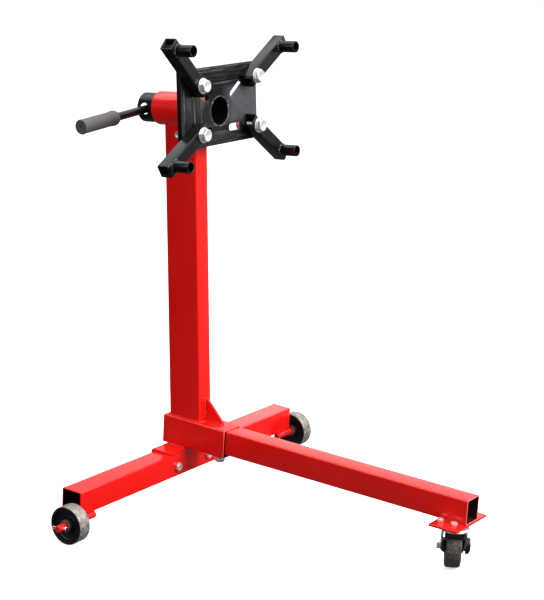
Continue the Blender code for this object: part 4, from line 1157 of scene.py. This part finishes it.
# ---- handle ----------------------------------------------------------------------------
handle_lathe = handle @ shift(0, 0, HANDLE_DROP) @ turn(90.0 + HANDLE_TILT, "X")
bar = [(0, GRIP_B - 8.0), (HANDLE_ROD_R - 0.8, GRIP_B - 8.0), (HANDLE_ROD_R, GRIP_B - 9.0),
       (HANDLE_ROD_R, ROD_FAR + 1.4), (HANDLE_ROD_R - 0.5, ROD_FAR + 0.4),
       (HANDLE_ROD_R - 1.4, ROD_FAR), (0, ROD_FAR)]
piece("handle_bar", paint(BLACK, lathe(bar, handle_lathe)),
      "handle", "handle_rod")
GRIP_BORE = HANDLE_ROD_R + 0.3
grip = [(1.6, GRIP_B - 1.6), (2.6, GRIP_B - 0.5), (GRIP_R - 3.0, GRIP_B - 0.5),
        (GRIP_R - 1.6, GRIP_B), (GRIP_R, GRIP_B - 1.6), (GRIP_R, GRIP_B - 3.4),
        (GRIP_R - 0.5, GRIP_B - 5.0), (GRIP_R - 0.5, GRIP_A + 20.0),
        (GRIP_R + 0.3, GRIP_A + 12.0), (GRIP_R + 0.5, GRIP_A + 6.5), (GRIP_R - 1.0, GRIP_A + 2.0),
        (GRIP_BORE + 2.0, GRIP_A), (GRIP_BORE, GRIP_A), (GRIP_BORE, GRIP_B - 7.6),
        (1.6, GRIP_B - 7.6)]
grip = fillet(grip, [0.3, 0.5, 0.6, 0.6, 0.8, 0.8, 0.8, 3.0, 3.0, 2.4, 2.0, 1.0, 0.3, 0.3, 0.3], 4)
piece("handle_rubber_grip", paint(GRIP, lathe(grip, handle_lathe, 96)),
      "handle", "handle_grip")


# ---- arms ----------------------------------------------------------------------------
def arm(number, tag, pivot, angle):
    """Box arm in front of the plate, with its spacer, the sleeve inside and their weld."""
    body = f"arm_{tag}"
    hinge = pivot @ turn(angle, "X")
    middle = hinge @ shift(GAP + ARM_SIZE / 2) @ ALONG_Y
    spacer = hinge @ shift(0, SPACER_AT) @ TO_X
    box = boolean(tube(ARM_SIZE, ARM_SIZE, 2.4, -ARM_TAIL, ARM_TIP, middle),
                  rod(ARM_BOLT_R + 0.4, -5, ARM_SIZE + 5, hinge @ TO_X, 40),
                  rod(SPACER_BORE - 0.4, -5, ARM_SIZE + 5, spacer, 40))
    box = skin(box, middle, ARM_SIZE, ARM_SIZE, (-ARM_TAIL, ARM_TIP), BLACK, IN_ARM)
    piece(f"arm_box_{tag}", box, body, f"arm_{tag}", angle=30)

    z0 = GAP * 2 + ARM_SIZE
    z1 = z0 + SPACER_L
    section = [(SPACER_R, z1), (SPACER_R, z0), (SPACER_BORE, z0), (SPACER_BORE, z1)]
    piece(f"arm_spacer_tube_{tag}",
          paint(BLACK, lathe(fillet(section, [1.0, 0.3, 0.3, 0.9], 4), spacer)),
          body, f"arm_spacer_{tag}")
    low, high = GAP + WALL + 0.1, GAP + ARM_SIZE - WALL - 0.1
    section = [(SPACER_R, high), (SPACER_R, low), (SPACER_BORE, low), (SPACER_BORE, high)]
    piece(f"arm_sleeve_{tag}", paint(IN_ARM, lathe(section, spacer, 48)), body)

    weld = bead(circle(SPACER_R + 0.3, z0 + 0.2, 32), 1.35, spacer, closed=True, lump=0.28,
                pitch=3.4, seed=20 + number)
    parts = paint(BLACK_WELD, weld)
    for k in range(5):
        a = math.radians(150 + 45 * k + 20 * number)
        r = SPACER_R + 1.9
        point = spacer @ Vector((r * math.cos(a), r * math.sin(a), z0 - GAP))
        drop = dot(point, 0.6 + 0.35 * rnd(number + k), spacer.to_3x3() @ Vector((0, 0, 1)))
        parts += paint(BARE_WELD, drop)
    piece(f"arm_spacer_weld_{tag}", parts, body)


def arm_fixing(tag, pivot):
    """Bolt and washer in front of the arm, washer and nut behind the plate."""
    radii = [0.5, 0.6, 0.3, 0.3]
    place = pivot @ shift(GAP * 2 + ARM_SIZE) @ TO_X
    tip = -(GAP * 2 + ARM_SIZE + (PLATE_FRONT - PLATE_BACK) + GAP + 13.0)
    bolt = paint(ZINC, washer(6.4, 12.9, 0.0, 1.9, place, radii, 3, 72),
                 hex_head(19.6, 8.0, place, 2.0, 0.45),
                 shank(ARM_BOLT_R, tip, 2.3, place, -12.0, 1.75, 40))
    piece(f"arm_hex_bolt_{tag}", bolt, f"bolt_{tag}", f"arm_bolt_{tag}")
    place = pivot @ shift(PLATE_BACK - PLATE_FRONT - GAP) @ turn(-90, "Y")
    nut = paint(ZINC, washer(6.4, 12.3, 0.0, 1.9, place, radii, 3, 72),
                hex_head(19.0, 8.0, place @ turn(17, "Z"), 2.0, bore=6.15))
    piece(f"arm_hex_nut_{tag}", nut, f"bolt_{tag}", f"arm_nut_{tag}")


for number, (tag, y, z, angle) in enumerate(ARMS):
    pivot = PLATE_FACE @ shift(0, y, z)
    arm(number, tag, pivot, angle)
    arm_fixing(tag, pivot @ turn(12.0 if y < 0 else -9.0, "X"))


# ---- stage, in metres from the middle of the cross tube ----------------------------------
def row_frame(x, y, z):
    return Vector((x - ORIGIN_X * MM, y, z))


def stage(name, data, matrix):
    ob = bpy.data.objects.new(name, data)
    ob.matrix_world = matrix
    bpy.context.scene.collection.objects.link(ob)
    return ob


def floor_white():
    """White floor that glows to the camera and shows reflections a graded grey."""
    mat = new_material("floor_white")
    rays = mat.add("ShaderNodeLightPath").outputs
    mat.finish(colour=(0.86, 0.86, 0.86), rough=0.9)

    def emit(strength):
        node = mat.add("ShaderNodeEmission")
        mat.put_colour(node.inputs["Color"], (1.0, 1.0, 1.0))
        mat.put(node.inputs["Strength"], strength)
        return node.outputs[0]

    def choose(fac, otherwise, chosen):
        node = mat.add("ShaderNodeMixShader")
        for socket, value in zip(node.inputs, (fac, otherwise, chosen)):
            mat.put(socket, value)
        return node.outputs[0]

    # brighter in reflections towards the back right
    along = mat.add("ShaderNodeVectorMath", operation="DOT_PRODUCT")
    mat.put(along.inputs[0], mat.add("ShaderNodeNewGeometry").outputs["Position"])
    along.inputs[1].default_value = (0.55, 0.70, 0.0)
    far = mat.scaled(along.outputs["Value"], by=0.25, plus=0.30)
    mirror = emit(mat.ramp(far, (0.10, 0.010), (0.45, 0.19), (0.75, 0.32)))
    seen = mat.add("ShaderNodeAddShader")
    mat.put(seen.inputs[0], mat.bsdf.outputs[0])
    mat.put(seen.inputs[1], emit(strength=0.62))
    surface = choose(rays["Is Glossy Ray"], emit(strength=0.22), mirror)
    surface = choose(rays["Is Camera Ray"], surface, seen.outputs[0])
    mat.put(mat.nodes["Material Output"].inputs["Surface"], surface)
    return mat.owner


def studio_world():
    """White to the camera; lights the scene from one side."""
    world = Shader(bpy.data.worlds.new("studio"))
    bpy.context.scene.world = world.owner
    world.nodes.clear()
    output = world.add("ShaderNodeOutputWorld")
    rays = world.add("ShaderNodeLightPath")
    backdrop = world.add("ShaderNodeBackground")
    lighting = world.add("ShaderNodeBackground")
    switch = world.add("ShaderNodeMixShader")
    world.put_colour(backdrop.inputs["Color"], (1.0, 1.0, 1.0))
    backdrop.inputs["Strength"].default_value = 1.15
    towards = world.add("ShaderNodeVectorMath", operation="DOT_PRODUCT")
    world.put(towards.inputs[0], world.add("ShaderNodeTexCoord").outputs["Generated"])
    towards.inputs[1].default_value = Vector((0.55, 0.70, 0.15)).normalized()
    share = world.add("ShaderNodeMapRange")
    share.inputs["From Min"].default_value = -1.0
    world.put(share.inputs["Value"], towards.outputs["Value"])
    glow = world.ramp(share.outputs["Result"],
                      (0.0, 0.10), (0.42, 0.16), (0.60, 0.62), (0.76, 1.0), (1.0, 1.0))
    world.put(lighting.inputs["Color"], glow)
    lighting.inputs["Strength"].default_value = 1.25
    world.put(switch.inputs[0], rays.outputs["Is Camera Ray"])
    world.put(switch.inputs[1], lighting.outputs[0])
    world.put(switch.inputs[2], backdrop.outputs[0])
    world.put(output.inputs["Surface"], switch.outputs[0])


def softbox(name, at, aim, size, power):
    light = bpy.data.lights.new(name, "AREA")
    light.shape = "RECTANGLE"
    light.size, light.size_y = size
    light.energy = power
    at = row_frame(*at)
    rotation = (row_frame(*aim) - at).to_track_quat("-Z", "Y").to_matrix().to_4x4()
    stage(name, light, Matrix.Translation(at) @ rotation)


def camera():
    azimuth, elevation, roll = (math.radians(a) for a in (34.30, 14.82, 3.09))
    back = Vector((math.sin(azimuth) * math.cos(elevation),
                   -math.cos(azimuth) * math.cos(elevation), math.sin(elevation)))
    right = Vector((math.cos(azimuth), math.sin(azimuth), 0.0))
    up = back.cross(right)
    rolled_right = math.cos(roll) * right + math.sin(roll) * up
    rolled_up = -math.sin(roll) * right + math.cos(roll) * up
    matrix = Matrix((rolled_right, rolled_up, back)).transposed().to_4x4()
    matrix.translation = row_frame(1.85431, -2.46313, 1.18392)
    data = bpy.data.cameras.new("camera")
    data.sensor_width = 36.0
    data.lens = 110.2938
    data.shift_x = -0.0030833333
    data.shift_y = -0.013266667
    data.clip_end = 100.0
    bpy.context.scene.camera = stage("camera", data, matrix)


FLOOR_HALF = 30.0
floor = bpy.data.meshes.new("studio_floor")
floor.from_pydata([(x * FLOOR_HALF, y * FLOOR_HALF, 0)
                   for x, y in ((-1, -1), (1, -1), (1, 1), (-1, 1))], [], [(0, 1, 2, 3)])
floor.materials.append(floor_white())
stage("studio_floor", floor, Matrix.Translation(row_frame(0, 0, -0.0005)))
studio_world()
softbox("top_softbox", at=(-0.8, 0.3, 2.7), aim=(-0.8, 0.3, 0.0), size=(4.2, 2.6), power=70.0)
softbox("right_softbox", at=(2.5, 0.3, 2.1), aim=(0.1, 0.0, 0.4), size=(1.3, 1.3), power=96.0)
softbox("front_softbox", at=(-0.8, -2.8, 1.9), aim=(0.1, 0.0, 0.4), size=(2.0, 1.6), power=33.0)
camera()
bpy.context.scene.view_settings.view_transform = "Standard"
bpy.context.scene.view_settings.look = "None"

bpy.context.view_layer.update()
